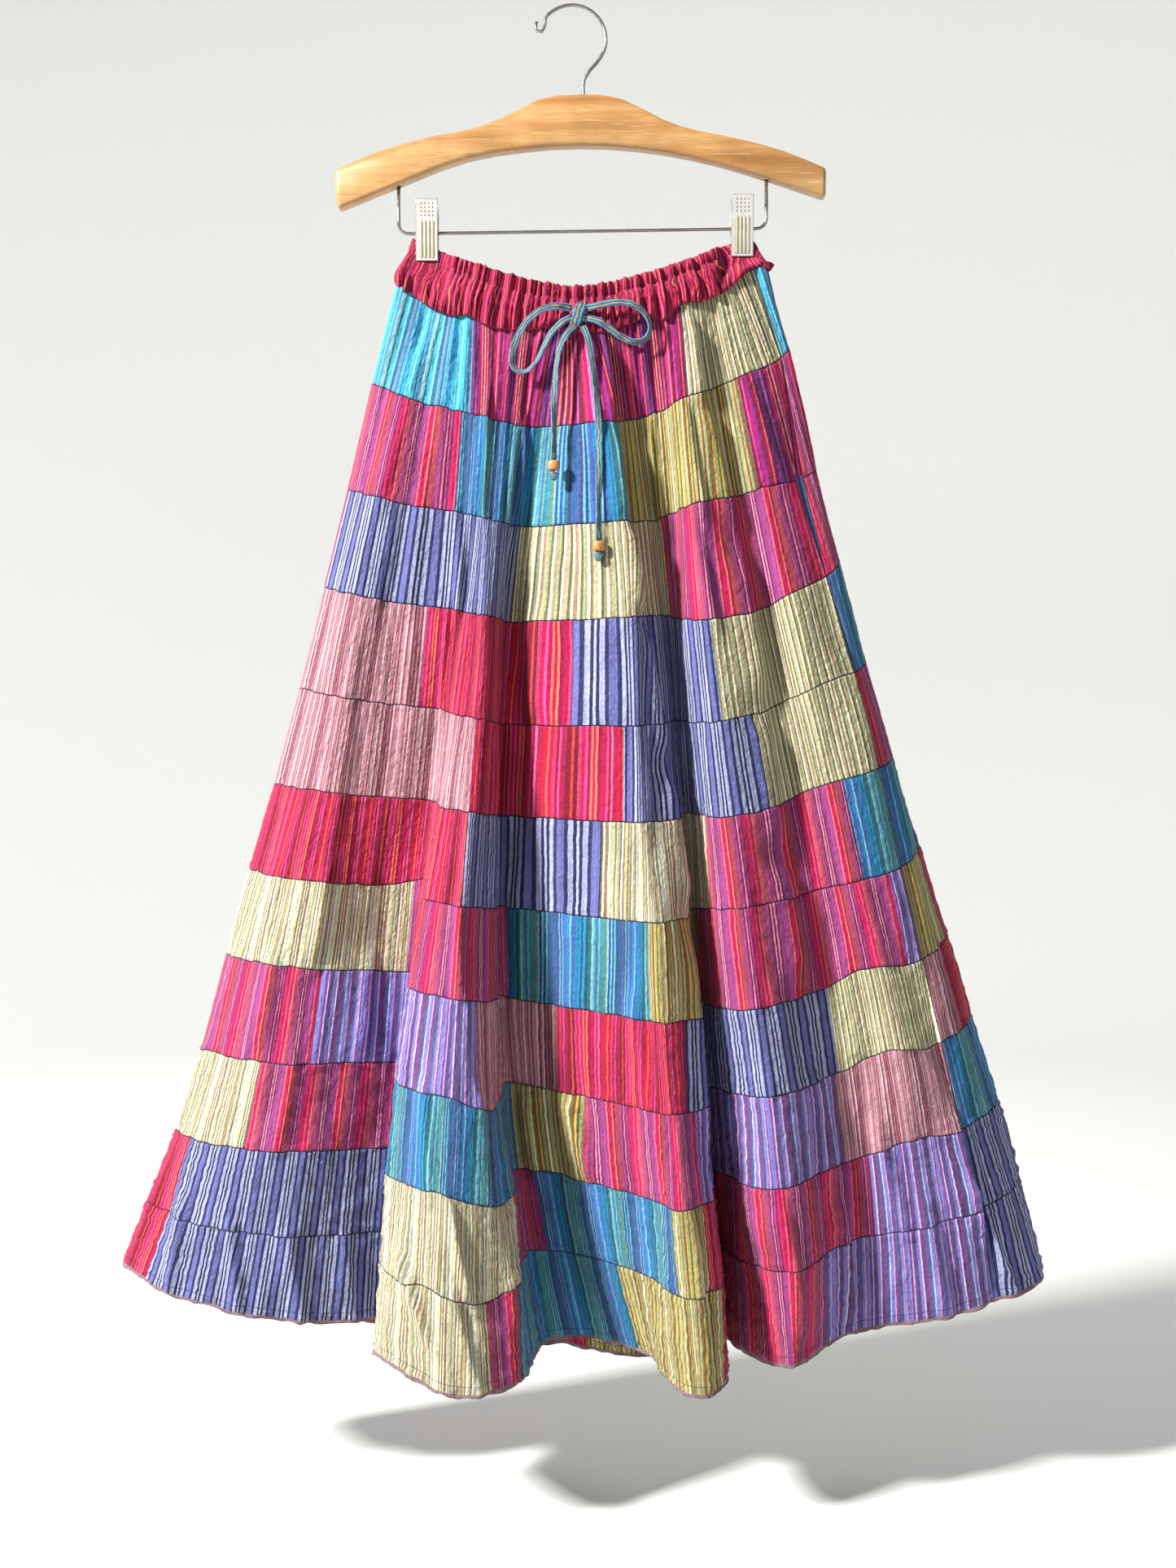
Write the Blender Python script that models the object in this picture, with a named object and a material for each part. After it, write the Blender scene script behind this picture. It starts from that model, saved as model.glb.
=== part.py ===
"""Patchwork skirt on a wooden trouser hanger.

Eleven tiers of cloth, front and back, hang from a gathered elastic band with a bow-tied
drawstring. Two sprung clips on a wire bar grip the band. Metres, +Z up. The origin is the
inside top of the hook, where the whole thing hangs. -Y is the front and +X the viewer's right.
"""

from math import cos, pi, radians, sin

import bmesh
import bpy
import numpy as np
from mathutils import Matrix, Vector

# Cloth and seams
CLOTH = 0.0016  # wall of one layer of the skirt
SEAM_GAP = 0.0003
TIERS = 11
TIER_COLUMNS = 42
BAND_COLUMNS = 84
GATHERS = 28  # in each half of the band
GATHER_DEPTH = 0.0015
GATHER_FADE = 0.4  # share of the first tier at which the gathers have partly faded
WAIST_STRETCH = 0.26  # cloth round the waist for each metre of hem, as it hangs
RIDGE_DROP = 0.12  # how much lower a fold hangs for each metre that it stands forward

# Waist, with the band lying relaxed between the clips
WAIST_LEFT = -0.151
WAIST_SIDE_SEAM = 0.146
WAIST_RIGHT = 0.169
WAIST_MIDDLE = 0.0105
WAIST_HALF_GAP = 0.0045
WAIST_BULGE_HALF = 0.140
FRONT_BULGE = 0.018
BACK_BULGE = 0.010

# Each tier seam: its height at the left side, the middle and the right side, how much higher
# it runs in the left half than in the right, and how flat its sag is.
# Columns: left, middle, right, skew, power
SEAM_HEIGHTS = (
    (-0.238, -0.281, -0.224, 0.000, 1.8),
    (-0.323, -0.364, -0.297, 0.002, 2.0),
    (-0.414, -0.448, -0.398, 0.002, 2.0),
    (-0.498, -0.529, -0.471, 0.003, 2.0),
    (-0.585, -0.618, -0.560, 0.006, 2.0),
    (-0.667, -0.697, -0.640, 0.009, 2.0),
    (-0.741, -0.776, -0.722, 0.011, 2.0),
    (-0.813, -0.854, -0.797, 0.015, 2.0),
    (-0.894, -0.926, -0.866, 0.015, 2.0),
    (-0.964, -0.998, -0.938, 0.014, 2.1),
    (-1.023, -1.064, -1.004, 0.008, 2.5),
    (-1.076, -1.139, -1.083, 0.001, 2.8),
)
BACK_DROP = 0.020  # the back hangs this much lower in its middle at the hem

# Where a seam dips or rises a little beside its sag.
# Columns: seam, place along the hem, half its width, rise
SEAM_DIPS = (
    (3, 1.010, 0.250, -0.022),
    (4, 0.980, 0.180, -0.013),
    (5, 0.970, 0.130, -0.009),
    (6, 0.262, 0.060, 0.008),
    (7, 1.087, 0.060, 0.010),
    (8, 0.450, 0.070, -0.013),
    (8, 1.092, 0.060, 0.010),
    (9, 0.450, 0.070, -0.013),
    (9, 1.102, 0.060, 0.007),
    (10, 0.429, 0.060, -0.012),
    (11, 0.345, 0.060, 0.012),
)

# The lines of the folds, counted round from the left side seam. Each row holds the place of
# one ridge, hollow or edge at the fourth seam, the eighth seam and the hem.
# Columns: name, x and y at the fourth seam, x and y at the eighth seam, x and y at the hem
FRONT_FOLDS = (
    ("left_seam", -0.234, 0.003, -0.318, 0.003, -0.383, 0.005),
    ("left_round", -0.222, -0.016, -0.298, -0.028, -0.352, -0.030),
    ("left_panel", -0.190, -0.034, -0.242, -0.050, -0.279, -0.052),
    ("left_dip", -0.154, -0.024, -0.187, -0.034, -0.210, -0.040),
    ("left_tuck", -0.116, -0.020, -0.144, -0.018, -0.158, -0.018),
    ("first_edge", -0.096, -0.032, -0.140, -0.070, -0.155, -0.098),
    ("first_crown", -0.078, -0.040, -0.093, -0.094, -0.097, -0.138),
    ("first_right", -0.065, -0.026, -0.063, -0.070, -0.046, -0.115),
    ("deep_hollow", -0.050, -0.001, -0.048, -0.006, -0.016, -0.018),
    ("middle_flat", -0.009, -0.026, -0.009, -0.026, 0.026, -0.022),
    ("middle_ridge", 0.044, -0.052, 0.042, -0.062, 0.066, -0.060),
    ("second_crown", 0.067, -0.040, 0.090, -0.092, 0.106, -0.130),
    ("second_edge", 0.077, -0.026, 0.105, -0.074, 0.122, -0.110),
    ("dark_hollow", 0.094, -0.014, 0.111, -0.010, 0.123, -0.012),
    ("third_crown", 0.124, -0.052, 0.162, -0.080, 0.180, -0.098),
    ("right_dip", 0.174, -0.026, 0.230, -0.040, 0.243, -0.045),
    ("right_panel", 0.207, -0.034, 0.273, -0.050, 0.304, -0.050),
)
BACK_FOLDS = (
    ("right_seam", 0.240, -0.018, 0.311, -0.036, 0.355, -0.038),
    ("right_side", 0.253, 0.002, 0.342, 0.000, 0.404, 0.000),
    ("back_1", 0.247, 0.018, 0.333, 0.024, 0.386, 0.030),
    ("back_2", 0.218, 0.028, 0.291, 0.038, 0.343, 0.046),
    ("back_3", 0.191, 0.006, 0.240, 0.006, 0.286, 0.008),
    ("back_4", 0.165, 0.028, 0.205, 0.038, 0.242, 0.046),
    ("back_5", 0.127, -0.008, 0.158, -0.014, 0.181, -0.020),
    ("back_6", 0.094, 0.026, 0.114, 0.038, 0.131, 0.046),
    ("back_7", 0.047, 0.000, 0.050, 0.000, 0.068, 0.002),
    ("back_8", -0.010, 0.030, -0.010, 0.040, -0.003, 0.048),
    ("back_9", -0.100, 0.004, -0.108, -0.002, -0.112, -0.006),
    ("back_10", -0.145, 0.028, -0.175, 0.040, -0.190, 0.048),
    ("back_11", -0.177, 0.002, -0.230, 0.000, -0.261, 0.002),
    ("back_12", -0.212, 0.026, -0.285, 0.036, -0.333, 0.044),
    ("back_13", -0.227, 0.014, -0.307, 0.020, -0.368, 0.024),
)
FOLD_LEVELS = (0, 4, 8, 11)  # the seams at which the fold lines are placed

# Band from its head to its foot. The casing round the elastic stands out below the header.
# Columns: share of the height, wall outside the middle surface, wall inside it
BAND_PROFILE = (
    (0.00, 0.0011, 0.0010),
    (0.30, 0.0009, 0.0009),
    (0.64, 0.0030, 0.0009),
    (1.00, 0.0010, 0.0008),
)
BAND_TOP_SIDE = -0.199
BAND_TOP_SAG = 0.046
BAND_TOP_BACK_SAG = 0.050
BAND_TOP_POWER = 1.5
BAND_TAPER = 0.915  # width of the head for each metre of the foot
BAND_HEAD_SHIFT = 0.002
BAND_HEAD_DEPTH = 0.8  # front to back, for each metre of the foot
PINCH_HALF_GAP = 0.0014  # middle of each layer from the plane between them, inside a clip
PINCH_FLAT = 0.0135
PINCH_FADE = 0.012
PINCH_FROM, PINCH_TO = 0.62, 0.95  # shares of the band's height over which a clip lets go
PINCH_WALL = 0.0011

# Pocket opening in the side seam on the viewer's right
POCKET_TOP = 1.0
POCKET_BOTTOM = 3.0
POCKET_GAPE = 0.006

# The pocket lets the front panel slide round to the right, and the side seam goes with it.
# Columns: level, distance along the hem from the seam's straight line
SIDE_SEAM_SHIFT = ((0, 0.046), (1, 0.038), (2, 0.008), (3, -0.004), (4, 0.0))

FACING_WALL = 0.0012
FACING_COLUMNS = 4  # of the front panel's columns that it lies under
FACING_BEHIND = 0.007  # reach past the side seam
FACING_INSET = 0.05  # tiers between the opening's ends and the strip's ends
FACING_CLEARANCE = 0.0008  # from the flat facets of the panels in front of it

# Hanger
WOOD_THICKNESS = 0.016
WOOD_BEVEL = 0.0035
WOOD_TOP = (
    (-0.204, -0.142), (-0.169, -0.127), (-0.120, -0.113), (-0.079, -0.1045), (-0.054, -0.094),
    (-0.025, -0.080), (-0.010, -0.0772), (0.010, -0.0766), (0.037, -0.0787), (0.057, -0.087),
    (0.081, -0.0995), (0.095, -0.1045), (0.131, -0.112), (0.178, -0.124), (0.218, -0.140),
)
WOOD_BOTTOM = (
    (0.2175, -0.166), (0.167, -0.149), (0.1295, -0.1375), (0.081, -0.127), (0.012, -0.121),
    (-0.041, -0.124), (-0.090, -0.1325), (-0.149, -0.155), (-0.201, -0.176),
)
WIRE_RADIUS = 0.0016
HOLE_CLEARANCE = 0.0003
HOOK_STEM_X = 0.0098
HOOK_ARC_RADIUS = 0.0292
HOOK_CENTRE_Z = WIRE_RADIUS - HOOK_ARC_RADIUS
HOOK_ARC_START = -39
HOOK_ARC_END = 141
HOOK_STEM = ((0.0098, -0.0765), (0.0100, -0.0640), (0.0135, -0.0570))
HOOK_STEM_END = -0.095
HOOK_POINTS = 44
HOOK_CURL = (
    (-0.0238, -0.0165), (-0.0262, -0.0212), (-0.0296, -0.0212), (-0.0312, -0.0175),
    (-0.0304, -0.0130),
)
BAR_LEFT = -0.149
BAR_RIGHT = 0.167
BAR_LEFT_HEIGHT = -0.1952
BAR_RIGHT_HEIGHT = -0.1907
BAR_CORNER = 0.0085
BAR_LEFT_END = -0.146
BAR_RIGHT_END = -0.139
HOLE_DEPTH_SPARE = 0.0008
HOOK_DRILL_REACH = 0.06
BAR_DRILL_REACH = -0.06
ROUND_SIDES = 12

# Clips
CLIP_CENTRES = {"left": -0.1246, "right": 0.1460}
CLIP_WIDTH = 0.019
CLIP_PLATE = 0.001
# Columns: height from the bar, outer face from the middle plane, depth of the turned edges
CLIP_LEG = (
    (-0.0245, 0.0038, 0.0013),
    (-0.0190, 0.0040, 0.0013),
    (-0.0080, 0.0052, 0.0022),
    (0.0000, 0.0058, 0.0036),
    (0.0120, 0.0070, 0.0044),
    (0.0235, 0.0083, 0.0020),
    (0.0275, 0.0088, 0.0013),
)
SPRING_RADIUS = 0.0045
SPRING_LENGTH = 0.011

# Drawstring: routes of its centre line, chosen along the real cord, as x, y, z
CORD_RADIUS = 0.0024
CORD_POINTS = 26
LOOP_LEFT = (
    (-0.0002, -0.0306, -0.2669), (-0.012, -0.0335, -0.2660), (-0.027, -0.0345, -0.2700),
    (-0.038, -0.0335, -0.2790), (-0.046, -0.0310, -0.2920), (-0.050, -0.0290, -0.3060),
    (-0.0485, -0.0280, -0.3170), (-0.041, -0.0275, -0.3200), (-0.032, -0.0280, -0.3140),
    (-0.0245, -0.0290, -0.3010), (-0.018, -0.0305, -0.2890), (-0.0075, -0.0318, -0.2785),
    (0.0000, -0.0305, -0.2743),
)
LOOP_RIGHT = (
    (0.0113, -0.0304, -0.2673), (0.024, -0.0335, -0.2650), (0.036, -0.0345, -0.2630),
    (0.050, -0.0335, -0.2640), (0.061, -0.0310, -0.2710), (0.066, -0.0290, -0.2815),
    (0.063, -0.0280, -0.2915), (0.054, -0.0275, -0.2950), (0.043, -0.0285, -0.2915),
    (0.032, -0.0305, -0.2840), (0.0195, -0.0322, -0.2770), (0.0129, -0.0308, -0.2754),
)
TAIL_LEFT = (
    (0.0034, -0.0300, -0.2797), (-0.005, -0.0320, -0.2900), (-0.0100, -0.0325, -0.3000),
    (-0.0125, -0.0330, -0.3130), (-0.0142, -0.0335, -0.3350), (-0.0150, -0.0345, -0.3600),
    (-0.0150, -0.0355, -0.3960),
)
TAIL_RIGHT = (
    (0.0093, -0.0302, -0.2818), (0.0140, -0.0320, -0.2930), (0.0165, -0.0330, -0.3080),
    (0.0200, -0.0345, -0.3350), (0.0228, -0.0375, -0.3700), (0.0232, -0.0400, -0.4000),
    (0.0224, -0.0425, -0.4350), (0.0226, -0.0445, -0.4650),
)
KNOT_CENTRE = (0.0062, -0.0295, -0.2722)
KNOT_SIZE = (0.0120, 0.0090, 0.0200)
BEAD_RADIUS = 0.0054
BEAD_FLATTEN = 0.78
END_KNOT_SIZE = (0.0088, 0.0070, 0.0078)


def make_material(name, colour, roughness, metallic=0.0):
    """A plain Principled material in the part's colour."""
    material = bpy.data.materials.new(name)
    material.use_nodes = True
    shader = material.node_tree.nodes["Principled BSDF"]
    shader.inputs["Base Color"].default_value = (*colour, 1.0)
    shader.inputs["Roughness"].default_value = roughness
    shader.inputs["Metallic"].default_value = metallic
    return material


def link_object(name, data, material):
    """Puts mesh or curve data into the scene with its material."""
    piece = bpy.data.objects.new(name, data)
    bpy.context.collection.objects.link(piece)
    data.materials.append(material)
    return piece


def between(low, high, share):
    return low + (high - low) * share


def smooth_step(value, low, high):
    share = np.clip((value - low) / (high - low), 0.0, 1.0)
    return share * share * (3 - 2 * share)


def curve_through(knots, points):
    """Reads a smooth curve through the knots at evenly spaced shares of their chord length."""
    knots = np.array(knots, float)
    steps = np.linalg.norm(np.diff(knots, axis=0), axis=1)
    places = np.concatenate(([0.0], np.cumsum(steps)))
    return hermite(places, knots, np.linspace(0.0, places[-1], points))


def hermite(places, knots, where, period=None):
    """A smooth curve through knots that lie at these places along it, closed if it has a period."""
    if period is not None:
        places = np.concatenate(([places[-1] - period], places, places[:2] + period))
        knots = np.concatenate((knots[-1:], knots, knots[:2]))
    gaps = np.diff(places)[:, None]
    slopes = np.diff(knots, axis=0) / gaps
    tangents = np.empty_like(knots)
    tangents[1:-1] = (slopes[:-1] * gaps[1:] + slopes[1:] * gaps[:-1]) / (gaps[:-1] + gaps[1:])
    tangents[0], tangents[-1] = slopes[0], slopes[-1]
    first = np.clip(np.searchsorted(places, where, side="right") - 1, 0, len(places) - 2)
    gap = gaps[first]
    t = (where[:, None] - places[first][:, None]) / gap
    return (
        (2 * t**3 - 3 * t**2 + 1) * knots[first]
        + (t**3 - 2 * t**2 + t) * gap * tangents[first]
        + (3 * t**2 - 2 * t**3) * knots[first + 1]
        + (t**3 - t**2) * gap * tangents[first + 1]
    )


# The cloth's middle surface: where a point of the cloth lies, from its distance along the hem
# round the skirt and its level, counted in tiers down from the band.
FOLDS = FRONT_FOLDS + BACK_FOLDS
FOLD_PLACES = np.array([row[1:] for row in FOLDS]).reshape(len(FOLDS), 3, 2)
HEM_STEPS = np.linalg.norm(np.roll(FOLD_PLACES[:, 2], -1, axis=0) - FOLD_PLACES[:, 2], axis=1)
ALONG = np.concatenate(([0.0], np.cumsum(HEM_STEPS)[:-1]))
ROUND_HEM = float(HEM_STEPS.sum())
FRONT_HEM = float(ALONG[len(FRONT_FOLDS)])
RIGHT_SIDE = float(ALONG[len(FRONT_FOLDS) + 1])


def waist_outline():
    """The band's foot from above: a flat loop with round ends that bulges between the clips."""
    turn = np.linspace(0.0, pi / 2, 10)
    run = np.linspace(WAIST_LEFT + WAIST_HALF_GAP, WAIST_RIGHT - WAIST_HALF_GAP, 120)
    left_end = run[0] - WAIST_HALF_GAP * np.cos(turn)
    right_end = run[-1] + WAIST_HALF_GAP * np.sin(turn)
    x = np.concatenate((left_end[:-1], run, right_end[1:], right_end[-2::-1], run[-2::-1]))
    x = np.concatenate((x, left_end[-2::-1]))
    rise = WAIST_HALF_GAP * np.sin(turn)
    edge = np.concatenate((rise[:-1], np.full(len(run), WAIST_HALF_GAP), rise[-2::-1]))
    bulge = np.clip(1 - ((x - WAIST_MIDDLE) / WAIST_BULGE_HALF) ** 2, 0.0, 1.0)
    half = len(edge)
    y = np.concatenate((-edge, edge[-2::-1]))
    y += np.where(np.arange(len(x)) < half, -FRONT_BULGE, BACK_BULGE) * bulge
    return np.column_stack((x, y))


WAIST_LOOP = waist_outline()
WAIST_RUN = np.concatenate(
    ([0.0], np.cumsum(np.linalg.norm(np.diff(WAIST_LOOP, axis=0), axis=1)))
)
FRONT_WAIST = float(np.interp(WAIST_SIDE_SEAM, WAIST_LOOP[:120, 0], WAIST_RUN[:120]))


def waist_plan(along):
    """The cloth is gathered evenly, so the waist runs in proportion to the hem."""
    run = np.interp(along, (0.0, FRONT_HEM, ROUND_HEM), (0.0, FRONT_WAIST, WAIST_RUN[-1]))
    return np.stack([np.interp(run, WAIST_RUN, WAIST_LOOP[:, i]) for i in range(2)], axis=1)


def cloth_plan(along, level):
    """Where the cloth is, seen from above: a cubic down the skirt through four stations."""
    stations = [waist_plan(along)]
    for i in range(len(FOLD_LEVELS) - 1):
        stations.append(hermite(ALONG, FOLD_PLACES[:, i], along, period=ROUND_HEM))
    plan = np.zeros_like(stations[0])
    for station, own in zip(stations, FOLD_LEVELS):
        weight = 1.0
        for other in FOLD_LEVELS:
            if other != own:
                weight *= (level - other) / (own - other)
        plan = plan + weight * station
    return plan


def across_share(along):
    """How far a point of the cloth is from the left side, 0, towards the right side, 1."""
    behind = (ROUND_HEM - along) / (ROUND_HEM - RIGHT_SIDE)
    return np.where(along < RIGHT_SIDE, along / RIGHT_SIDE, behind)


def sag_shape(share, power):
    """0 at the two sides and 1 in the middle."""
    return 1 - abs(2 * share - 1) ** power


def seam_height(along, level):
    """Each seam sags between the sides, and the back sags a little more."""
    levels = range(TIERS + 1)
    left, middle, right, skew, power = (
        np.interp(level, levels, column) for column in zip(*SEAM_HEIGHTS)
    )
    front = along < RIGHT_SIDE
    share = across_share(along)
    sag = (left + right) / 2 - middle + np.where(front, 0.0, BACK_DROP * level / TIERS)
    lean = np.where(front, 10 * skew * share * (1 - share) * (1 - 2 * share), 0.0)
    dips = 0.0
    for seam, place, half, rise in SEAM_DIPS:
        near = np.cos(pi / 2 * np.clip((along - place) / half, -1, 1)) ** 2
        dips = dips + rise * max(0.0, 1 - abs(level - seam)) * near
    return between(left, right, share) - sag * sag_shape(share, power) + lean + dips


def middle_surface(along, level):
    """Points of the cloth's middle at one level, without the small gathers."""
    along = np.mod(along, ROUND_HEM)
    plan = cloth_plan(along, level)
    height = seam_height(along, level)
    height = height - RIDGE_DROP * np.clip(-plan[:, 1], 0.0, None) * level / TIERS
    return np.column_stack((plan, height))


def outward(along, level):
    """Level unit normals, away from the hollow inside. Level ones keep every seam's gap even."""
    ahead, down = 0.001, 0.01  # metres along the hem and tiers down, for the slopes
    across = middle_surface(along + ahead, level) - middle_surface(along - ahead, level)
    fall = middle_surface(along, level + down) - middle_surface(along, level - down)
    normals = np.cross(fall, across)
    normals[:, 2] = 0.0
    return normals / np.linalg.norm(normals, axis=1, keepdims=True)


def gather_wave(along):
    """The gathers' wave: 28 in the front and as many in the back."""
    front = along < FRONT_HEM
    share = np.where(front, along / FRONT_HEM, (along - FRONT_HEM) / (ROUND_HEM - FRONT_HEM))
    return np.cos(2 * pi * GATHERS * share)


def side_seam(level):
    """Where the right side seam is along the hem."""
    levels, shifts = zip(*SIDE_SEAM_SHIFT)
    return FRONT_HEM + float(np.interp(level, levels, shifts))


def panel_places(panel, level, columns):
    """Distances along the hem of one panel's columns, clear of its side seams."""
    stretch = between(WAIST_STRETCH, 1.0, level / TIERS)  # cloth here for each metre of hem
    gap = SEAM_GAP / 2 / stretch
    if panel == "back":
        return np.linspace(side_seam(level) + gap, ROUND_HEM - gap, columns + 1)
    gape = 0.0
    if POCKET_TOP < level < POCKET_BOTTOM:
        share = (level - POCKET_TOP) / (POCKET_BOTTOM - POCKET_TOP)
        gape = POCKET_GAPE * sin(pi * share) / stretch
    return np.linspace(gap, side_seam(level) - gap - gape, columns + 1)


def build_wall(name, outer, inner, material):
    """A closed wall between two grids of points, each of rows from the top down."""
    rows, columns = outer.shape[:2]
    mesh_points = np.concatenate((outer.reshape(-1, 3), inner.reshape(-1, 3)))
    inside = rows * columns
    quads = []
    for row in range(rows - 1):
        for column in range(columns - 1):
            a = row * columns + column
            b, c, d = a + columns, a + columns + 1, a + 1
            quads.append((a, b, c, d))
            quads.append((a + inside, d + inside, c + inside, b + inside))
    bottom = (rows - 1) * columns
    for column in range(columns - 1):
        quads.append((column, column + 1, column + 1 + inside, column + inside))
        a = bottom + column
        quads.append((a, a + inside, a + 1 + inside, a + 1))
    for row in range(rows - 1):
        a = row * columns
        quads.append((a, a + inside, a + columns + inside, a + columns))
        b = a + columns - 1
        quads.append((b, b + columns, b + columns + inside, b + inside))
    faces = []
    for a, b, c, d in quads:
        faces += [(a, b, c), (a, c, d)]
    mesh = bpy.data.meshes.new(name)
    mesh.from_pydata(mesh_points.tolist(), [], faces)
    mesh.shade_smooth()
    mesh.set_sharp_from_angle(angle=radians(50))
    return link_object(name, mesh, material)


def with_midpoints(points):
    """The same row of points with one more halfway along each straight facet."""
    fine = np.empty((2 * len(points) - 1, 3))
    fine[::2] = points
    fine[1::2] = (points[:-1] + points[1:]) / 2
    return fine


def build_tier(panel, number, material):
    """One tier of one panel: a strip of sewn patches between two seams."""
    row_height = SEAM_HEIGHTS[number - 1][1] - SEAM_HEIGHTS[number][1]
    half_gap = SEAM_GAP / 2 / row_height
    top, bottom = number - 1 + half_gap, number - half_gap
    gathered = number == 1
    levels = (top, between(top, bottom, GATHER_FADE), bottom) if gathered else (top, bottom)
    outer, inner = [], []
    for level in levels:
        fine = gathered and level < bottom
        along = panel_places(panel, level, BAND_COLUMNS if fine else TIER_COLUMNS)
        middle, normals = middle_surface(along, level), outward(along, level)
        if fine:
            fade = (bottom - level) ** 2
            middle = middle + normals * (GATHER_DEPTH * fade * gather_wave(along))[:, None]
        rows = [middle + normals * CLOTH / 2, middle - normals * CLOTH / 2]
        if gathered and not fine:
            rows = [with_midpoints(row) for row in rows]
        outer.append(rows[0])
        inner.append(rows[1])
    return build_wall(f"tier_{number:02d}_{panel}", np.array(outer), np.array(inner), material)


def pinch(x, share):
    """1 where the band is free and 0 where a clip presses its two layers together."""
    free = np.ones_like(x)
    for centre in CLIP_CENTRES.values():
        free = free * smooth_step(abs(x - centre), PINCH_FLAT, PINCH_FLAT + PINCH_FADE)
    return np.maximum(free, smooth_step(share, PINCH_FROM, PINCH_TO))


def build_band(panel, material):
    """Half of the band: a ruffled header above an elastic casing, gathered and stitched."""
    along = panel_places(panel, 0.0, BAND_COLUMNS)
    foot = middle_surface(along, 0.0)
    normals = outward(along, 0.0)
    normals[0 if panel == "front" else -1] = (-1.0, 0.0, 0.0)  # the halves meet end to end
    sag = BAND_TOP_SAG if panel == "front" else BAND_TOP_BACK_SAG
    head_height = BAND_TOP_SIDE - sag * sag_shape(across_share(along), BAND_TOP_POWER)
    foot_height = foot[:, 2] + SEAM_GAP / 2
    outer, inner = [], []
    for share, outside, inside in BAND_PROFILE:
        x = between(foot[:, 0] * BAND_TAPER + BAND_HEAD_SHIFT, foot[:, 0], share)
        free = pinch(x, share)
        side = np.sign(foot[:, 1]) * np.minimum(abs(foot[:, 1]), PINCH_HALF_GAP)
        y = side + free * (foot[:, 1] * between(BAND_HEAD_DEPTH, 1.0, share) - side)
        middle = np.column_stack((x, y, between(head_height, foot_height, share)))
        middle += normals * (free * GATHER_DEPTH * gather_wave(along))[:, None]
        thick = np.minimum(outside, between(PINCH_WALL, outside, free))[:, None]
        outer.append(middle + normals * thick)
        inner.append(middle - normals * inside)
    return build_wall(f"waistband_{panel}", np.array(outer), np.array(inner), material)


def build_pocket_facing(material):
    """A strip of striped cloth behind the pocket opening, which shows where it gapes."""
    outer, inner = [], []
    depth = CLOTH / 2 + FACING_CLEARANCE + FACING_WALL / 2
    head, foot = POCKET_TOP + FACING_INSET, POCKET_BOTTOM - FACING_INSET
    for level in (head, (head + foot) / 2, foot):
        behind = FACING_BEHIND / between(WAIST_STRETCH, 1.0, level / TIERS)
        under_front = panel_places("front", level, TIER_COLUMNS)[-FACING_COLUMNS:]
        along = np.append(under_front, side_seam(level) + behind * np.array((0.3, 1.0)))
        middle, normals = middle_surface(along, level), outward(along, level)
        outer.append(middle - normals * (depth - FACING_WALL / 2))
        inner.append(middle - normals * (depth + FACING_WALL / 2))
    return build_wall("pocket_facing", np.array(outer), np.array(inner), material)


def build_wire(name, points, radius, material):
    """A round wire or cord along a route, with filled ends."""
    curve = bpy.data.curves.new(name, "CURVE")
    curve.dimensions = "3D"
    spline = curve.splines.new("POLY")
    spline.points.add(len(points) - 1)
    for spot, point in zip(spline.points, points):
        spot.co = (*point, 1.0)
    curve.bevel_depth = radius
    curve.bevel_resolution = 2
    curve.use_fill_caps = True
    return link_object(name, curve, material)


def build_wood(material):
    """The hanger's wooden arm: one shaped board with rounded edges and three drilled holes."""
    top = curve_through(WOOD_TOP, 25)
    bottom = curve_through(WOOD_BOTTOM, 19)
    outline = np.concatenate((top, bottom))
    mesh = bpy.data.meshes.new("hanger_wood")
    shape = bmesh.new()
    face = shape.faces.new([shape.verts.new((x, WOOD_THICKNESS / 2, z)) for x, z in outline])
    pulled = bmesh.ops.extrude_face_region(shape, geom=[face])
    moved = [item for item in pulled["geom"] if isinstance(item, bmesh.types.BMVert)]
    bmesh.ops.translate(shape, verts=moved, vec=(0, -WOOD_THICKNESS, 0))
    bmesh.ops.recalc_face_normals(shape, faces=shape.faces)
    shape.to_mesh(mesh)
    shape.free()
    mesh.shade_smooth()
    mesh.set_sharp_from_angle(angle=radians(45))
    board = link_object("hanger_wood", mesh, material)
    bevel = board.modifiers.new("rounded edges", "BEVEL")
    bevel.width = WOOD_BEVEL
    bevel.segments = 2
    bevel.limit_method = "ANGLE"
    bevel.angle_limit = radians(50)
    drills = (
        ("hook_hole", HOOK_STEM_X, HOOK_STEM_END - HOLE_DEPTH_SPARE, HOOK_DRILL_REACH),
        ("bar_hole_left", BAR_LEFT, BAR_LEFT_END + HOLE_DEPTH_SPARE, BAR_DRILL_REACH),
        ("bar_hole_right", BAR_RIGHT, BAR_RIGHT_END + HOLE_DEPTH_SPARE, BAR_DRILL_REACH),
    )
    for name, x, hole_end, reach in drills:
        drill_mesh = bpy.data.meshes.new(name)
        drill_shape = bmesh.new()
        bmesh.ops.create_cone(
            drill_shape,
            cap_ends=True,
            segments=ROUND_SIDES,
            radius1=WIRE_RADIUS + HOLE_CLEARANCE,
            radius2=WIRE_RADIUS + HOLE_CLEARANCE,
            depth=abs(reach),
            matrix=Matrix.Translation((x, 0.0, hole_end + reach / 2)),
        )
        drill_shape.to_mesh(drill_mesh)
        drill_shape.free()
        drill = bpy.data.objects.new(name, drill_mesh)
        bpy.context.collection.objects.link(drill)
        drill.hide_render = True
        drill.display_type = "WIRE"
        cut = board.modifiers.new(name, "BOOLEAN")
        cut.object = drill
        cut.operation = "DIFFERENCE"
    return board


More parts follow.
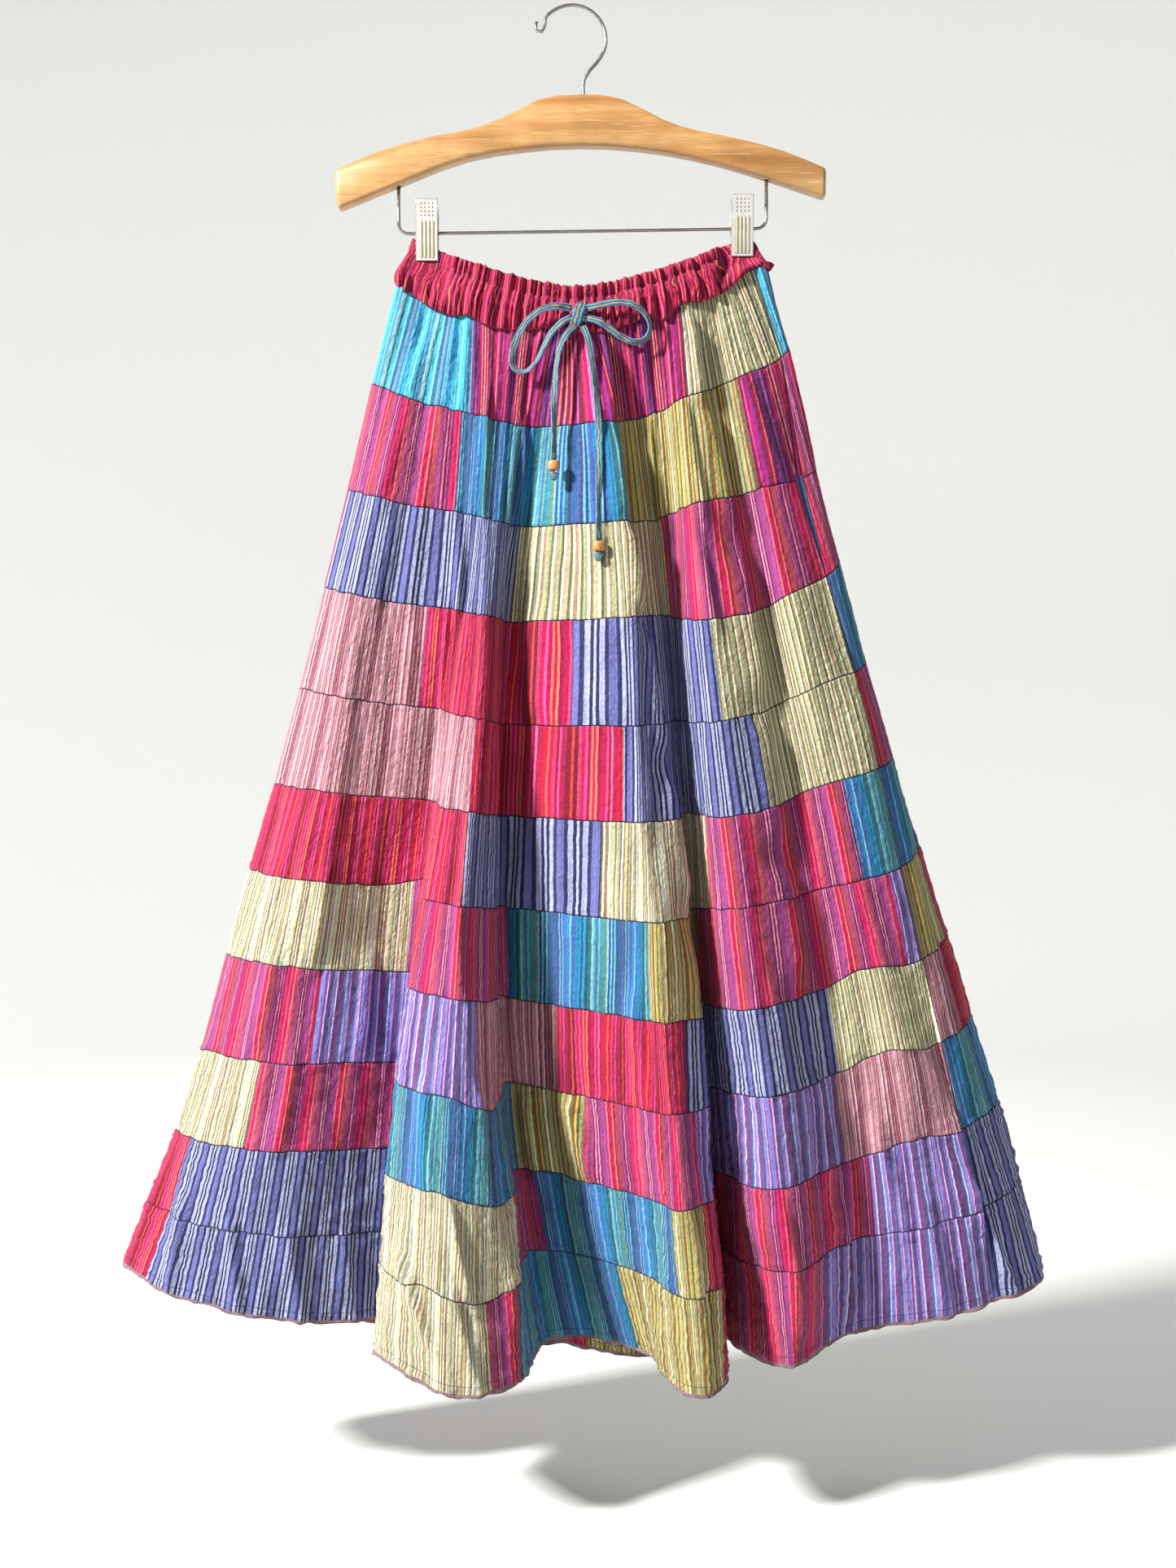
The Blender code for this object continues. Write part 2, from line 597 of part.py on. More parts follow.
def build_hook(material):
    """The steel hook: a stem, a wide arc and a small curl at its tip."""
    arc = [
        (HOOK_ARC_RADIUS * cos(radians(a)), HOOK_ARC_RADIUS * sin(radians(a)) + HOOK_CENTRE_Z)
        for a in np.linspace(HOOK_ARC_START, HOOK_ARC_END, 10)
    ]
    stem = [(HOOK_STEM_X, HOOK_STEM_END), *HOOK_STEM]
    route = curve_through(stem + arc + list(HOOK_CURL), HOOK_POINTS)
    return build_wire("hook", [(x, 0.0, z) for x, z in route], WIRE_RADIUS, material)


def bar_height(x):
    return between(BAR_LEFT_HEIGHT, BAR_RIGHT_HEIGHT, (x - BAR_LEFT) / (BAR_RIGHT - BAR_LEFT))


def build_bar(material):
    """The wire bar: both its ends turn up into the wood, and the clips hang on it."""
    corner = [cos(radians(a)) for a in (0, 22.5, 45, 67.5, 90)]
    left = [
        (BAR_LEFT + BAR_CORNER * (1 - c), bar_height(BAR_LEFT) + BAR_CORNER * (1 - s))
        for c, s in zip(corner, reversed(corner))
    ]
    right = [
        (BAR_RIGHT - BAR_CORNER * (1 - c), bar_height(BAR_RIGHT) + BAR_CORNER * (1 - s))
        for c, s in zip(reversed(corner), corner)
    ]
    route = [(BAR_LEFT, BAR_LEFT_END), *left, *right, (BAR_RIGHT, BAR_RIGHT_END)]
    return build_wire("wire_bar", [(x, 0.0, z) for x, z in route], WIRE_RADIUS, material)


def build_clip_leg(name, centre, side, material):
    """One leg of a clip: a bent channel of sheet metal. side is -1 in front and 1 behind."""
    half = CLIP_WIDTH / 2
    shape = bmesh.new()
    rings = []
    for height, face, flange in CLIP_LEG:
        section = (
            (-half, face - flange), (-half, face), (half, face), (half, face - flange),
            (half - CLIP_PLATE, face - flange), (half - CLIP_PLATE, face - CLIP_PLATE),
            (CLIP_PLATE - half, face - CLIP_PLATE), (CLIP_PLATE - half, face - flange),
        )
        rings.append([
            shape.verts.new((centre + x, side * y, bar_height(centre) + height))
            for x, y in section
        ])
    for low, high in zip(rings, rings[1:]):
        for i in range(len(low)):
            j = (i + 1) % len(low)
            shape.faces.new((low[i], low[j], high[j], high[i]))
    for ring in (rings[0], rings[-1]):
        shape.faces.new((ring[0], ring[1], ring[6], ring[7]))
        shape.faces.new((ring[1], ring[2], ring[5], ring[6]))
        shape.faces.new((ring[2], ring[3], ring[4], ring[5]))
    bmesh.ops.recalc_face_normals(shape, faces=shape.faces)
    mesh = bpy.data.meshes.new(name)
    shape.to_mesh(mesh)
    shape.free()
    return link_object(name, mesh, material)


def build_spring(name, centre, material):
    """The rolled spring round the bar that holds a clip's legs apart at the top."""
    shape = bmesh.new()
    rings = []
    for x, radius in (
        (-1, SPRING_RADIUS), (1, SPRING_RADIUS),
        (1, WIRE_RADIUS + SEAM_GAP), (-1, WIRE_RADIUS + SEAM_GAP),
    ):
        rings.append([
            shape.verts.new((
                centre + x * SPRING_LENGTH / 2,
                radius * cos(2 * pi * i / ROUND_SIDES),
                bar_height(centre + x * SPRING_LENGTH / 2) + radius * sin(2 * pi * i / ROUND_SIDES),
            ))
            for i in range(ROUND_SIDES)
        ])
    for ring, following in zip(rings, rings[1:] + rings[:1]):
        for i in range(ROUND_SIDES):
            j = (i + 1) % ROUND_SIDES
            shape.faces.new((ring[i], ring[j], following[j], following[i]))
    bmesh.ops.recalc_face_normals(shape, faces=shape.faces)
    mesh = bpy.data.meshes.new(name)
    shape.to_mesh(mesh)
    shape.free()
    mesh.shade_smooth()
    mesh.set_sharp_from_angle(angle=radians(40))
    return link_object(name, mesh, material)


def build_lump(name, centre, size, material, segments=ROUND_SIDES, rings=7, turn=0.0):
    """A rounded lump, for the knots and the beads."""
    shape = bmesh.new()
    bmesh.ops.create_uvsphere(shape, u_segments=segments, v_segments=rings, radius=0.5)
    bmesh.ops.scale(shape, vec=Vector(size), verts=shape.verts)
    bmesh.ops.rotate(shape, matrix=Matrix.Rotation(turn, 3, "Y"), verts=shape.verts)
    mesh = bpy.data.meshes.new(name)
    shape.to_mesh(mesh)
    shape.free()
    mesh.shade_smooth()
    piece = link_object(name, mesh, material)
    piece.location = centre
    return piece


def build_drawstring(cord, bead):
    """The bow: a knot, two loops and two tails, each tail through a bead to its end knot."""
    build_lump("drawstring_knot", KNOT_CENTRE, KNOT_SIZE, cord, turn=radians(-18))
    for name, route in (
        ("drawstring_loop_left", LOOP_LEFT),
        ("drawstring_loop_right", LOOP_RIGHT),
        ("drawstring_tail_left", TAIL_LEFT),
        ("drawstring_tail_right", TAIL_RIGHT),
    ):
        build_wire(name, curve_through(route, CORD_POINTS), CORD_RADIUS, cord)
    for side, route in (("left", TAIL_LEFT), ("right", TAIL_RIGHT)):
        x, y, z = route[-1]
        bead_height = 2 * BEAD_RADIUS * BEAD_FLATTEN
        z -= SEAM_GAP + bead_height / 2
        size = (2 * BEAD_RADIUS, 2 * BEAD_RADIUS, bead_height)
        build_lump(f"drawstring_bead_{side}", (x, y, z), size, bead)
        z -= SEAM_GAP + bead_height / 2 + END_KNOT_SIZE[2] / 2
        build_lump(f"drawstring_end_{side}", (x, y, z), END_KNOT_SIZE, cord, 10, 6)


for old in list(bpy.data.objects):
    bpy.data.objects.remove(old, do_unlink=True)

wood = make_material("varnished wood", (0.68, 0.38, 0.14), 0.3)
steel = make_material("bright steel wire", (0.66, 0.65, 0.63), 0.28, 1.0)
clip_metal = make_material("plated clip", (0.78, 0.77, 0.74), 0.35, 1.0)
brass = make_material("brass spring", (0.66, 0.50, 0.26), 0.38, 1.0)
wine = make_material("wine striped cotton", (0.42, 0.03, 0.09), 0.85)
blue = make_material("blue striped cotton", (0.20, 0.38, 0.48), 0.85)
bead_wood = make_material("bead wood", (0.62, 0.36, 0.16), 0.5)
tier_colours = (
    (0.45, 0.08, 0.20), (0.26, 0.34, 0.30), (0.36, 0.30, 0.34), (0.42, 0.26, 0.30),
    (0.40, 0.20, 0.26), (0.38, 0.14, 0.22), (0.38, 0.36, 0.26), (0.30, 0.22, 0.42),
    (0.34, 0.24, 0.34), (0.30, 0.26, 0.40), (0.34, 0.30, 0.32),
)

build_wood(wood)
build_hook(steel)
build_bar(steel)
for clip_side, clip_centre in CLIP_CENTRES.items():
    build_clip_leg(f"clip_{clip_side}_front", clip_centre, -1, clip_metal)
    build_clip_leg(f"clip_{clip_side}_back", clip_centre, 1, clip_metal)
    build_spring(f"clip_{clip_side}_spring", clip_centre, brass)
for panel_name in ("front", "back"):
    build_band(panel_name, wine)
for tier_number, tier_colour in enumerate(tier_colours, start=1):
    patchwork = make_material(f"patchwork tier {tier_number}", tier_colour, 0.9)
    for panel_name in ("front", "back"):
        build_tier(panel_name, tier_number, patchwork)
build_pocket_facing(blue)
build_drawstring(blue, bead_wood)
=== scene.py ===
"""The patchwork skirt on its clip hanger, dressed for the render. Metres, +Z up, front at -Y."""

from math import atan, cos, pi, radians, sin

import bmesh
import bpy
import numpy as np
from mathutils import Matrix, Vector


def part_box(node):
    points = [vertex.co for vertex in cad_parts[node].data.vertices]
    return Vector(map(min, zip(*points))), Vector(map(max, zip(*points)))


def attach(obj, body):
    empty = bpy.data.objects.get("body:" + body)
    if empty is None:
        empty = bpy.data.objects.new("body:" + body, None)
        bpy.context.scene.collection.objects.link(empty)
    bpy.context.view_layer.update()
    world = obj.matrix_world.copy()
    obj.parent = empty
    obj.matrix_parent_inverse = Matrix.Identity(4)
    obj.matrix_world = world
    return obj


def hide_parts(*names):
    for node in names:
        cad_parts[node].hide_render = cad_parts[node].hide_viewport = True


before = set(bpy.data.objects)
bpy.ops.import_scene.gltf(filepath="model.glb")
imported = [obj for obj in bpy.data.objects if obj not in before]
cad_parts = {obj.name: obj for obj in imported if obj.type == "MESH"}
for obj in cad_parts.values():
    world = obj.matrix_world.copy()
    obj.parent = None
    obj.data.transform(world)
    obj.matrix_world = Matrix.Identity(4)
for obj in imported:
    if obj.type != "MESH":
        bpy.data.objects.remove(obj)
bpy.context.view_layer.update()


# The view and the room. The picture was taken about 1.6 m in front of the hanger, level with the
# skirt's middle. The room is a bowl of smooth plaster, pale behind the skirt and duller in front,
# so the folds keep their shade. The soft daylight comes from high on the left.
PIXEL = 0.0007
PICTURE_HEIGHT = 1927
VIEW_DISTANCE = 1.6
VIEW_MIDDLE = (0.01365, -0.6685)
FLOOR_HEIGHT = -1.262
FLOOR_RADIUS = 1.2  # of its innermost ring
ROOM_RADIUS = 4.2
ROOM_CORNER = 1.6
ROOM_TOP = 3.4
ROOM_SIDES = 64
CORNER_STEPS = 12
DULL_PLASTER, DULL_PLACE = (0.20, 0.20, 0.20, 1), -2.5
PALE_PLASTER, PALE_PLACE = (0.68, 0.69, 0.68, 1), 0.4
SKY_COLOUR = (0.95, 0.97, 1.0, 1)
SKY_STRENGTH = 0.30
LAMPS = (
    # name, place, target, size, power, colour
    ("lamp_left", (-2.5, -1.6, 1.3), (0, 0, -0.62), 0.4, 335.0, (1.0, 0.975, 0.945)),
    ("lamp_right", (2.4, -2.2, 0.2), (0, 0, -0.62), 1.6, 9.0, (0.93, 0.96, 1.0)),
    ("lamp_behind", (0.6, 2.2, 1.6), (0, 0, -0.62), 1.6, 30.0, (1.0, 0.98, 0.96)),
    ("lamp_wall", (0.0, 1.6, 3.0), (0, 4, -0.62), 1.5, 16.0, (1.0, 0.99, 0.98)),
)

camera_data = bpy.data.cameras.new("camera")
camera_data.sensor_fit = "VERTICAL"
camera_data.angle_y = 2 * atan(PICTURE_HEIGHT * PIXEL / 2 / VIEW_DISTANCE)
camera_data.clip_end = 50
camera = bpy.data.objects.new("camera", camera_data)
camera.location = (VIEW_MIDDLE[0], -VIEW_DISTANCE, VIEW_MIDDLE[1])
camera.rotation_euler = (pi / 2, 0, 0)
bpy.context.collection.objects.link(camera)
bpy.context.scene.camera = camera
bpy.context.scene.view_settings.view_transform = "Standard"


def add_node(tree, kind, inputs=(), **settings):
    """Adds a node. inputs gives each socket a value, or another node's output to be linked."""
    node = tree.nodes.new("ShaderNode" + kind)
    for name, value in settings.items():
        setattr(node, name, value)
    for socket, value in dict(inputs).items():
        if isinstance(value, bpy.types.NodeSocket):
            tree.links.new(value, node.inputs[socket])
        else:
            node.inputs[socket].default_value = value
    return node


def own_place(tree):
    """Each point's place in metres."""
    return add_node(tree, "TexCoord").outputs["Object"]


def parted(tree, vector):
    """A vector's three values."""
    return add_node(tree, "SeparateXYZ", {0: vector}).outputs


def ranged(tree, value, low, high, start=0.0, end=1.0, interpolation="LINEAR"):
    """A value between low and high, turned into one between start and end."""
    inputs = {0: value, 1: low, 2: high, 3: start, 4: end}
    return add_node(tree, "MapRange", inputs, interpolation_type=interpolation).outputs[0]


def mixed(tree, share, first, second):
    """The first colour, turning into the second as the share rises from 0 to 1."""
    return add_node(tree, "Mix", {0: share, 6: first, 7: second}, data_type="RGBA").outputs[2]


def new_material(name, **sockets):
    """A Principled material with these values on its shader, its tree and its shader."""
    material = bpy.data.materials.new(name)
    material.use_nodes = True
    shader = material.node_tree.nodes["Principled BSDF"]
    for socket, value in sockets.items():
        shader.inputs[socket.replace("_", " ")].default_value = value
    return material, material.node_tree, shader


def link_object(name, data, *materials):
    """Puts mesh or curve data into the scene with its materials."""
    piece = bpy.data.objects.new(name, data)
    bpy.context.collection.objects.link(piece)
    for material in materials:
        data.materials.append(material)
    return piece


plaster, tree, shader = new_material("pale plaster", Roughness=0.9)
depth = parted(tree, own_place(tree))[1]
pale = ranged(tree, depth, DULL_PLACE, PALE_PLACE, interpolation="SMOOTHSTEP")
tree.links.new(mixed(tree, pale, DULL_PLASTER, PALE_PLASTER), shader.inputs["Base Color"])
rings = [(0.0, FLOOR_HEIGHT), (FLOOR_RADIUS, FLOOR_HEIGHT)]
for step in range(CORNER_STEPS + 1):
    turn = radians(90 * step / CORNER_STEPS)
    ring_radius = ROOM_RADIUS - ROOM_CORNER + ROOM_CORNER * sin(turn)
    rings.append((ring_radius, FLOOR_HEIGHT + ROOM_CORNER * (1 - cos(turn))))
rings.append((ROOM_RADIUS, ROOM_TOP))
room = bmesh.new()
last = None
for ring_radius, height in rings:
    turns = [2 * pi * i / ROOM_SIDES for i in range(ROOM_SIDES if ring_radius else 1)]
    ring = [room.verts.new((ring_radius * cos(turn), ring_radius * sin(turn), height)) for turn in turns]
    for i in range(ROOM_SIDES if last else 0):
        j = (i + 1) % ROOM_SIDES
        corners = (last[0], ring[i], ring[j])
        room.faces.new(corners if len(last) == 1 else (last[i], ring[i], ring[j], last[j]))
    last = ring
room_mesh = bpy.data.meshes.new("room")
room.to_mesh(room_mesh)
room.free()
room_mesh.shade_smooth()
link_object("room", room_mesh, plaster)

for name, place, target, size, power, colour in LAMPS:
    lamp_data = bpy.data.lights.new(name, "AREA")
    lamp_data.size = size
    lamp_data.energy = power
    lamp_data.color = colour
    lamp = bpy.data.objects.new(name, lamp_data)
    lamp.location = place
    lamp.rotation_euler = (Vector(target) - Vector(place)).to_track_quat("-Z", "Y").to_euler()
    bpy.context.collection.objects.link(lamp)

world = bpy.data.worlds.new("soft daylight")
world.use_nodes = True
sky = world.node_tree.nodes["Background"]
sky.inputs["Color"].default_value = SKY_COLOUR
sky.inputs["Strength"].default_value = SKY_STRENGTH
bpy.context.scene.world = world


# The skirt's form. The cloth hangs in long folds from the band. Each fold's line is given by its
# place at three seams, and a smooth curve joins them round the skirt. All the strips, the band
# and the hem take their points from this surface, so they meet at every seam.
TIERS = 11
HALF_GAP = 0.00015  # half of the open line between two strips
WAIST_STRETCH = 0.26
RIDGE_DROP = 0.12
WAIST_LEFT = -0.151
WAIST_SIDE_SEAM = 0.146
WAIST_RIGHT = 0.169
WAIST_MIDDLE = 0.0105
WAIST_HALF_GAP = 0.0045
WAIST_BULGE_HALF = 0.140
FRONT_BULGE = 0.018
BACK_BULGE = 0.010
BACK_DROP = 0.020
POCKET_TOP = 1.0
POCKET_BOTTOM = 3.0
POCKET_GAPE = 0.006
SLIDE_FROM, SLIDE_TO = 0.94, 0.975
SLIDE_ROOM = 0.004
WAIST_POINTS = 120
WAIST_END_POINTS = 10
# Columns: level, distance along the hem from the right side seam's straight line
SIDE_SEAM_SHIFT = ((0, 0.046), (1, 0.038), (2, 0.008), (3, -0.004), (4, 0.0))

# Columns: left, middle, right, skew, power
SEAM_HEIGHTS = (
    (-0.238, -0.281, -0.224, 0.000, 1.8),
    (-0.323, -0.364, -0.297, 0.002, 2.0),
    (-0.414, -0.448, -0.398, 0.002, 2.0),
    (-0.498, -0.529, -0.471, 0.003, 2.0),
    (-0.585, -0.618, -0.560, 0.006, 2.0),
    (-0.667, -0.697, -0.640, 0.009, 2.0),
    (-0.741, -0.776, -0.722, 0.011, 2.0),
    (-0.813, -0.854, -0.797, 0.015, 2.0),
    (-0.894, -0.926, -0.866, 0.015, 2.0),
    (-0.964, -0.998, -0.938, 0.014, 2.1),
    (-1.023, -1.064, -1.004, 0.008, 2.5),
    (-1.076, -1.139, -1.083, 0.001, 2.8),
)
# Columns: seam, place along the hem, half its width, rise
SEAM_DIPS = (
    (3, 1.010, 0.250, -0.022), (4, 0.980, 0.180, -0.013), (5, 0.970, 0.130, -0.009),
    (6, 0.262, 0.060, 0.008), (7, 1.087, 0.060, 0.010), (8, 0.450, 0.070, -0.013),
    (8, 1.092, 0.060, 0.010), (9, 0.450, 0.070, -0.013), (9, 1.102, 0.060, 0.007),
    (10, 0.429, 0.060, -0.012), (11, 0.345, 0.060, 0.012), (11, 1.750, 0.110, -0.008),
    (11, 1.550, 0.050, -0.008),
)
# Columns: name, x and y at the fourth seam, x and y at the eighth seam, x and y at the hem
FRONT_FOLDS = (
    ("left_seam", -0.234, 0.003, -0.318, 0.003, -0.383, 0.005),
    ("left_round", -0.222, -0.016, -0.298, -0.028, -0.352, -0.030),
    ("left_panel", -0.190, -0.034, -0.242, -0.050, -0.279, -0.052),
    ("left_dip", -0.154, -0.024, -0.187, -0.034, -0.210, -0.040),
    ("left_tuck", -0.116, -0.020, -0.144, -0.018, -0.158, -0.018),
    ("first_edge", -0.096, -0.032, -0.140, -0.070, -0.155, -0.098),
    ("first_crown", -0.078, -0.040, -0.093, -0.094, -0.097, -0.138),
    ("first_right", -0.065, -0.026, -0.063, -0.070, -0.046, -0.115),
    ("deep_hollow", -0.050, -0.001, -0.048, -0.006, -0.016, -0.018),
    ("middle_flat", -0.009, -0.026, -0.009, -0.026, 0.026, -0.022),
    ("middle_ridge", 0.044, -0.052, 0.042, -0.062, 0.066, -0.060),
    ("second_crown", 0.067, -0.040, 0.090, -0.092, 0.106, -0.130),
    ("second_edge", 0.077, -0.026, 0.105, -0.074, 0.122, -0.110),
    ("dark_hollow", 0.094, -0.014, 0.111, -0.010, 0.123, -0.012),
    ("third_crown", 0.124, -0.052, 0.162, -0.080, 0.180, -0.098),
    ("right_dip", 0.174, -0.026, 0.230, -0.040, 0.243, -0.045),
    ("right_panel", 0.207, -0.034, 0.273, -0.050, 0.304, -0.050),
)
BACK_FOLDS = (
    ("right_seam", 0.240, -0.018, 0.311, -0.036, 0.355, -0.038),
    ("right_side", 0.253, 0.002, 0.342, 0.000, 0.404, 0.000),
    ("back_1", 0.247, 0.018, 0.333, 0.024, 0.386, 0.030),
    ("back_2", 0.218, 0.028, 0.291, 0.038, 0.343, 0.046),
    ("back_3", 0.191, 0.006, 0.240, 0.006, 0.286, 0.008),
    ("back_4", 0.165, 0.028, 0.205, 0.038, 0.242, 0.046),
    ("back_5", 0.127, -0.008, 0.158, -0.014, 0.181, -0.020),
    ("back_6", 0.094, 0.026, 0.114, 0.038, 0.131, 0.046),
    ("back_7", 0.047, 0.000, 0.050, 0.000, 0.068, 0.002),
    ("back_8", -0.010, 0.030, -0.010, 0.040, -0.003, 0.048),
    ("back_9", -0.100, 0.004, -0.108, -0.002, -0.112, -0.006),
    ("back_10", -0.145, 0.028, -0.175, 0.040, -0.190, 0.048),
    ("back_11", -0.177, 0.002, -0.230, 0.000, -0.261, 0.002),
    ("back_12", -0.212, 0.026, -0.285, 0.036, -0.333, 0.044),
    ("back_13", -0.227, 0.014, -0.307, 0.020, -0.368, 0.024),
)
FOLD_LEVELS = (0, 4, 8, 11)


def between(low, high, share):
    """A value that goes from low to high as the share rises from 0 to 1."""
    return low + (high - low) * share


def smooth_step(value, low, high):
    """0 up to low and 1 from high on, with a soft rise between them."""
    share = np.clip((value - low) / (high - low), 0.0, 1.0)
    return share * share * (3 - 2 * share)


def steps(points):
    """The distances between neighbouring points of a line."""
    return np.linalg.norm(np.diff(points, axis=0), axis=1)


def run_along(points):
    """How far along a line each of its points lies."""
    return np.concatenate(([0.0], np.cumsum(steps(points))))


def hermite(places, knots, where, period=None):
    """A smooth curve through knots that lie at these places along it, closed if it has a period."""
    if period is not None:
        places = np.concatenate(([places[-1] - period], places, places[:2] + period))
        knots = np.concatenate((knots[-1:], knots, knots[:2]))
    gaps = np.diff(places)[:, None]
    slopes = np.diff(knots, axis=0) / gaps
    tangents = np.empty_like(knots)
    tangents[1:-1] = (slopes[:-1] * gaps[1:] + slopes[1:] * gaps[:-1]) / (gaps[:-1] + gaps[1:])
    tangents[0], tangents[-1] = slopes[0], slopes[-1]
    first = np.clip(np.searchsorted(places, where, side="right") - 1, 0, len(places) - 2)
    gap = gaps[first]
    t = (where[:, None] - places[first][:, None]) / gap
    return (
        (2 * t**3 - 3 * t**2 + 1) * knots[first]
        + (t**3 - 2 * t**2 + t) * gap * tangents[first]
        + (3 * t**2 - 2 * t**3) * knots[first + 1]
        + (t**3 - t**2) * gap * tangents[first + 1]
    )


FOLDS = FRONT_FOLDS + BACK_FOLDS
FOLD_PLACES = np.array([row[1:] for row in FOLDS]).reshape(len(FOLDS), 3, 2)
HEM_STEPS = np.linalg.norm(np.roll(FOLD_PLACES[:, 2], -1, axis=0) - FOLD_PLACES[:, 2], axis=1)
ALONG = np.concatenate(([0.0], np.cumsum(HEM_STEPS)[:-1]))
ROUND_HEM = float(HEM_STEPS.sum())
FRONT_HEM = float(ALONG[len(FRONT_FOLDS)])
BACK_HEM = ROUND_HEM - FRONT_HEM
RIGHT_SIDE = float(ALONG[len(FRONT_FOLDS) + 1])


def waist_outline():
    """The band's foot from above: a flat loop with round ends that bulges between the clips."""
    turn = np.linspace(0.0, pi / 2, WAIST_END_POINTS)
    run = np.linspace(WAIST_LEFT + WAIST_HALF_GAP, WAIST_RIGHT - WAIST_HALF_GAP, WAIST_POINTS)
    left_end = run[0] - WAIST_HALF_GAP * np.cos(turn)
    right_end = run[-1] + WAIST_HALF_GAP * np.sin(turn)
    x = np.concatenate((left_end[:-1], run, right_end[1:], right_end[-2::-1], run[-2::-1]))
    x = np.concatenate((x, left_end[-2::-1]))
    rise = WAIST_HALF_GAP * np.sin(turn)
    edge = np.concatenate((rise[:-1], np.full(len(run), WAIST_HALF_GAP), rise[-2::-1]))
    bulge = np.clip(1 - ((x - WAIST_MIDDLE) / WAIST_BULGE_HALF) ** 2, 0.0, 1.0)
    half = len(edge)
    y = np.concatenate((-edge, edge[-2::-1]))
    y += np.where(np.arange(len(x)) < half, -FRONT_BULGE, BACK_BULGE) * bulge
    return np.column_stack((x, y))


WAIST_LOOP = waist_outline()
WAIST_RUN = run_along(WAIST_LOOP)
FRONT_WAIST = float(
    np.interp(WAIST_SIDE_SEAM, WAIST_LOOP[:WAIST_POINTS, 0], WAIST_RUN[:WAIST_POINTS])
)


def cloth_plan(along, level):
    """Where the cloth is, seen from above: a cubic down the skirt through four stations."""
    run = np.interp(along, (0.0, FRONT_HEM, ROUND_HEM), (0.0, FRONT_WAIST, WAIST_RUN[-1]))
    stations = [np.stack([np.interp(run, WAIST_RUN, WAIST_LOOP[:, i]) for i in range(2)], axis=1)]
    for i in range(len(FOLD_LEVELS) - 1):
        stations.append(hermite(ALONG, FOLD_PLACES[:, i], along, period=ROUND_HEM))
    plan = np.zeros_like(stations[0])
    for station, own in zip(stations, FOLD_LEVELS):
        weight = 1.0
        for other in FOLD_LEVELS:
            if other != own:
                weight *= (level - other) / (own - other)
        plan = plan + weight * station
    return plan


def across_share(along):
    """How far a point of the cloth is from the left side, 0, towards the right side, 1."""
    behind = (ROUND_HEM - along) / (ROUND_HEM - RIGHT_SIDE)
    return np.where(along < RIGHT_SIDE, along / RIGHT_SIDE, behind)


def sag_shape(share, power):
    """0 at the two sides and 1 in the middle."""
    return 1 - abs(2 * share - 1) ** power


def seam_height(along, level):
    """Each seam sags between the sides, and the back sags a little more."""
    left, middle, right, skew, power = (
        np.interp(level, range(TIERS + 1), column) for column in zip(*SEAM_HEIGHTS)
    )
    front = along < RIGHT_SIDE
    share = across_share(along)
    sag = (left + right) / 2 - middle + np.where(front, 0.0, BACK_DROP * level / TIERS)
    lean = np.where(front, 10 * skew * share * (1 - share) * (1 - 2 * share), 0.0)
    dips = 0.0
    for seam, place, half, rise in SEAM_DIPS:
        near = np.cos(pi / 2 * np.clip((along - place) / half, -1, 1)) ** 2
        dips = dips + rise * max(0.0, 1 - abs(level - seam)) * near
    return between(left, right, share) - sag * sag_shape(share, power) + lean + dips


def middle_surface(along, level):
    """Points of the cloth's middle at one level, without the small gathers and creases."""
    along = np.mod(along, ROUND_HEM)
    plan = cloth_plan(along, level)
    height = seam_height(along, level)
    height = height - RIDGE_DROP * np.clip(-plan[:, 1], 0.0, None) * level / TIERS
    return np.column_stack((plan, height))


def outward(along, level):
    """Level unit normals, away from the hollow inside."""
    ahead, down = 0.001, 0.01
    across = middle_surface(along + ahead, level) - middle_surface(along - ahead, level)
    fall = middle_surface(along, level + down) - middle_surface(along, level - down)
    normals = np.cross(fall, across)
    normals[:, 2] = 0.0
    return normals / np.linalg.norm(normals, axis=1, keepdims=True)


def side_seam(level):
    """Where the right side seam is along the hem."""
    levels, shifts = zip(*SIDE_SEAM_SHIFT)
    return FRONT_HEM + float(np.interp(level, levels, shifts))


def panel_places(panel, level, shares):
    """Distances along the hem of one panel's columns, clear of its side seams. The shift of the
    right side seam is taken up by the panel's last columns, so no other patch moves."""
    stretch = between(WAIST_STRETCH, 1.0, level / TIERS)
    gap = HALF_GAP / stretch
    if panel == "back":
        return between(side_seam(level) + gap, ROUND_HEM - gap, shares)
    gape = 0.0
    if POCKET_TOP < level < POCKET_BOTTOM:
        open_share = (level - POCKET_TOP) / (POCKET_BOTTOM - POCKET_TOP)
        gape = POCKET_GAPE * sin(pi * open_share) / stretch
    end = side_seam(level) - gap - gape
    knots = (gap, SLIDE_FROM * FRONT_HEM, min(FRONT_HEM, end - SLIDE_ROOM), end)
    return np.interp(shares, (0.0, SLIDE_FROM, SLIDE_TO, 1.0), knots)


def wander(seed, along, level, columns, rows, lean=0.0):
    """Smooth random waves on the cloth, from -1 to 1, that close up round the skirt."""
    values = np.random.default_rng(seed).uniform(-1, 1, (rows + 2, columns))
    across = (along / ROUND_HEM + lean * level / TIERS) * columns
    down = np.clip(level / TIERS * rows, 0, rows)
    column = np.floor(across).astype(int)
    row = np.floor(down).astype(int)
    x = across - column
    y = down - row
    x = x * x * (3 - 2 * x)
    y = y * y * (3 - 2 * y)
    left, right = column % columns, (column + 1) % columns
    upper = between(values[row, left], values[row, right], x)
    lower = between(values[row + 1, left], values[row + 1, right], x)
    return between(upper, lower, y)


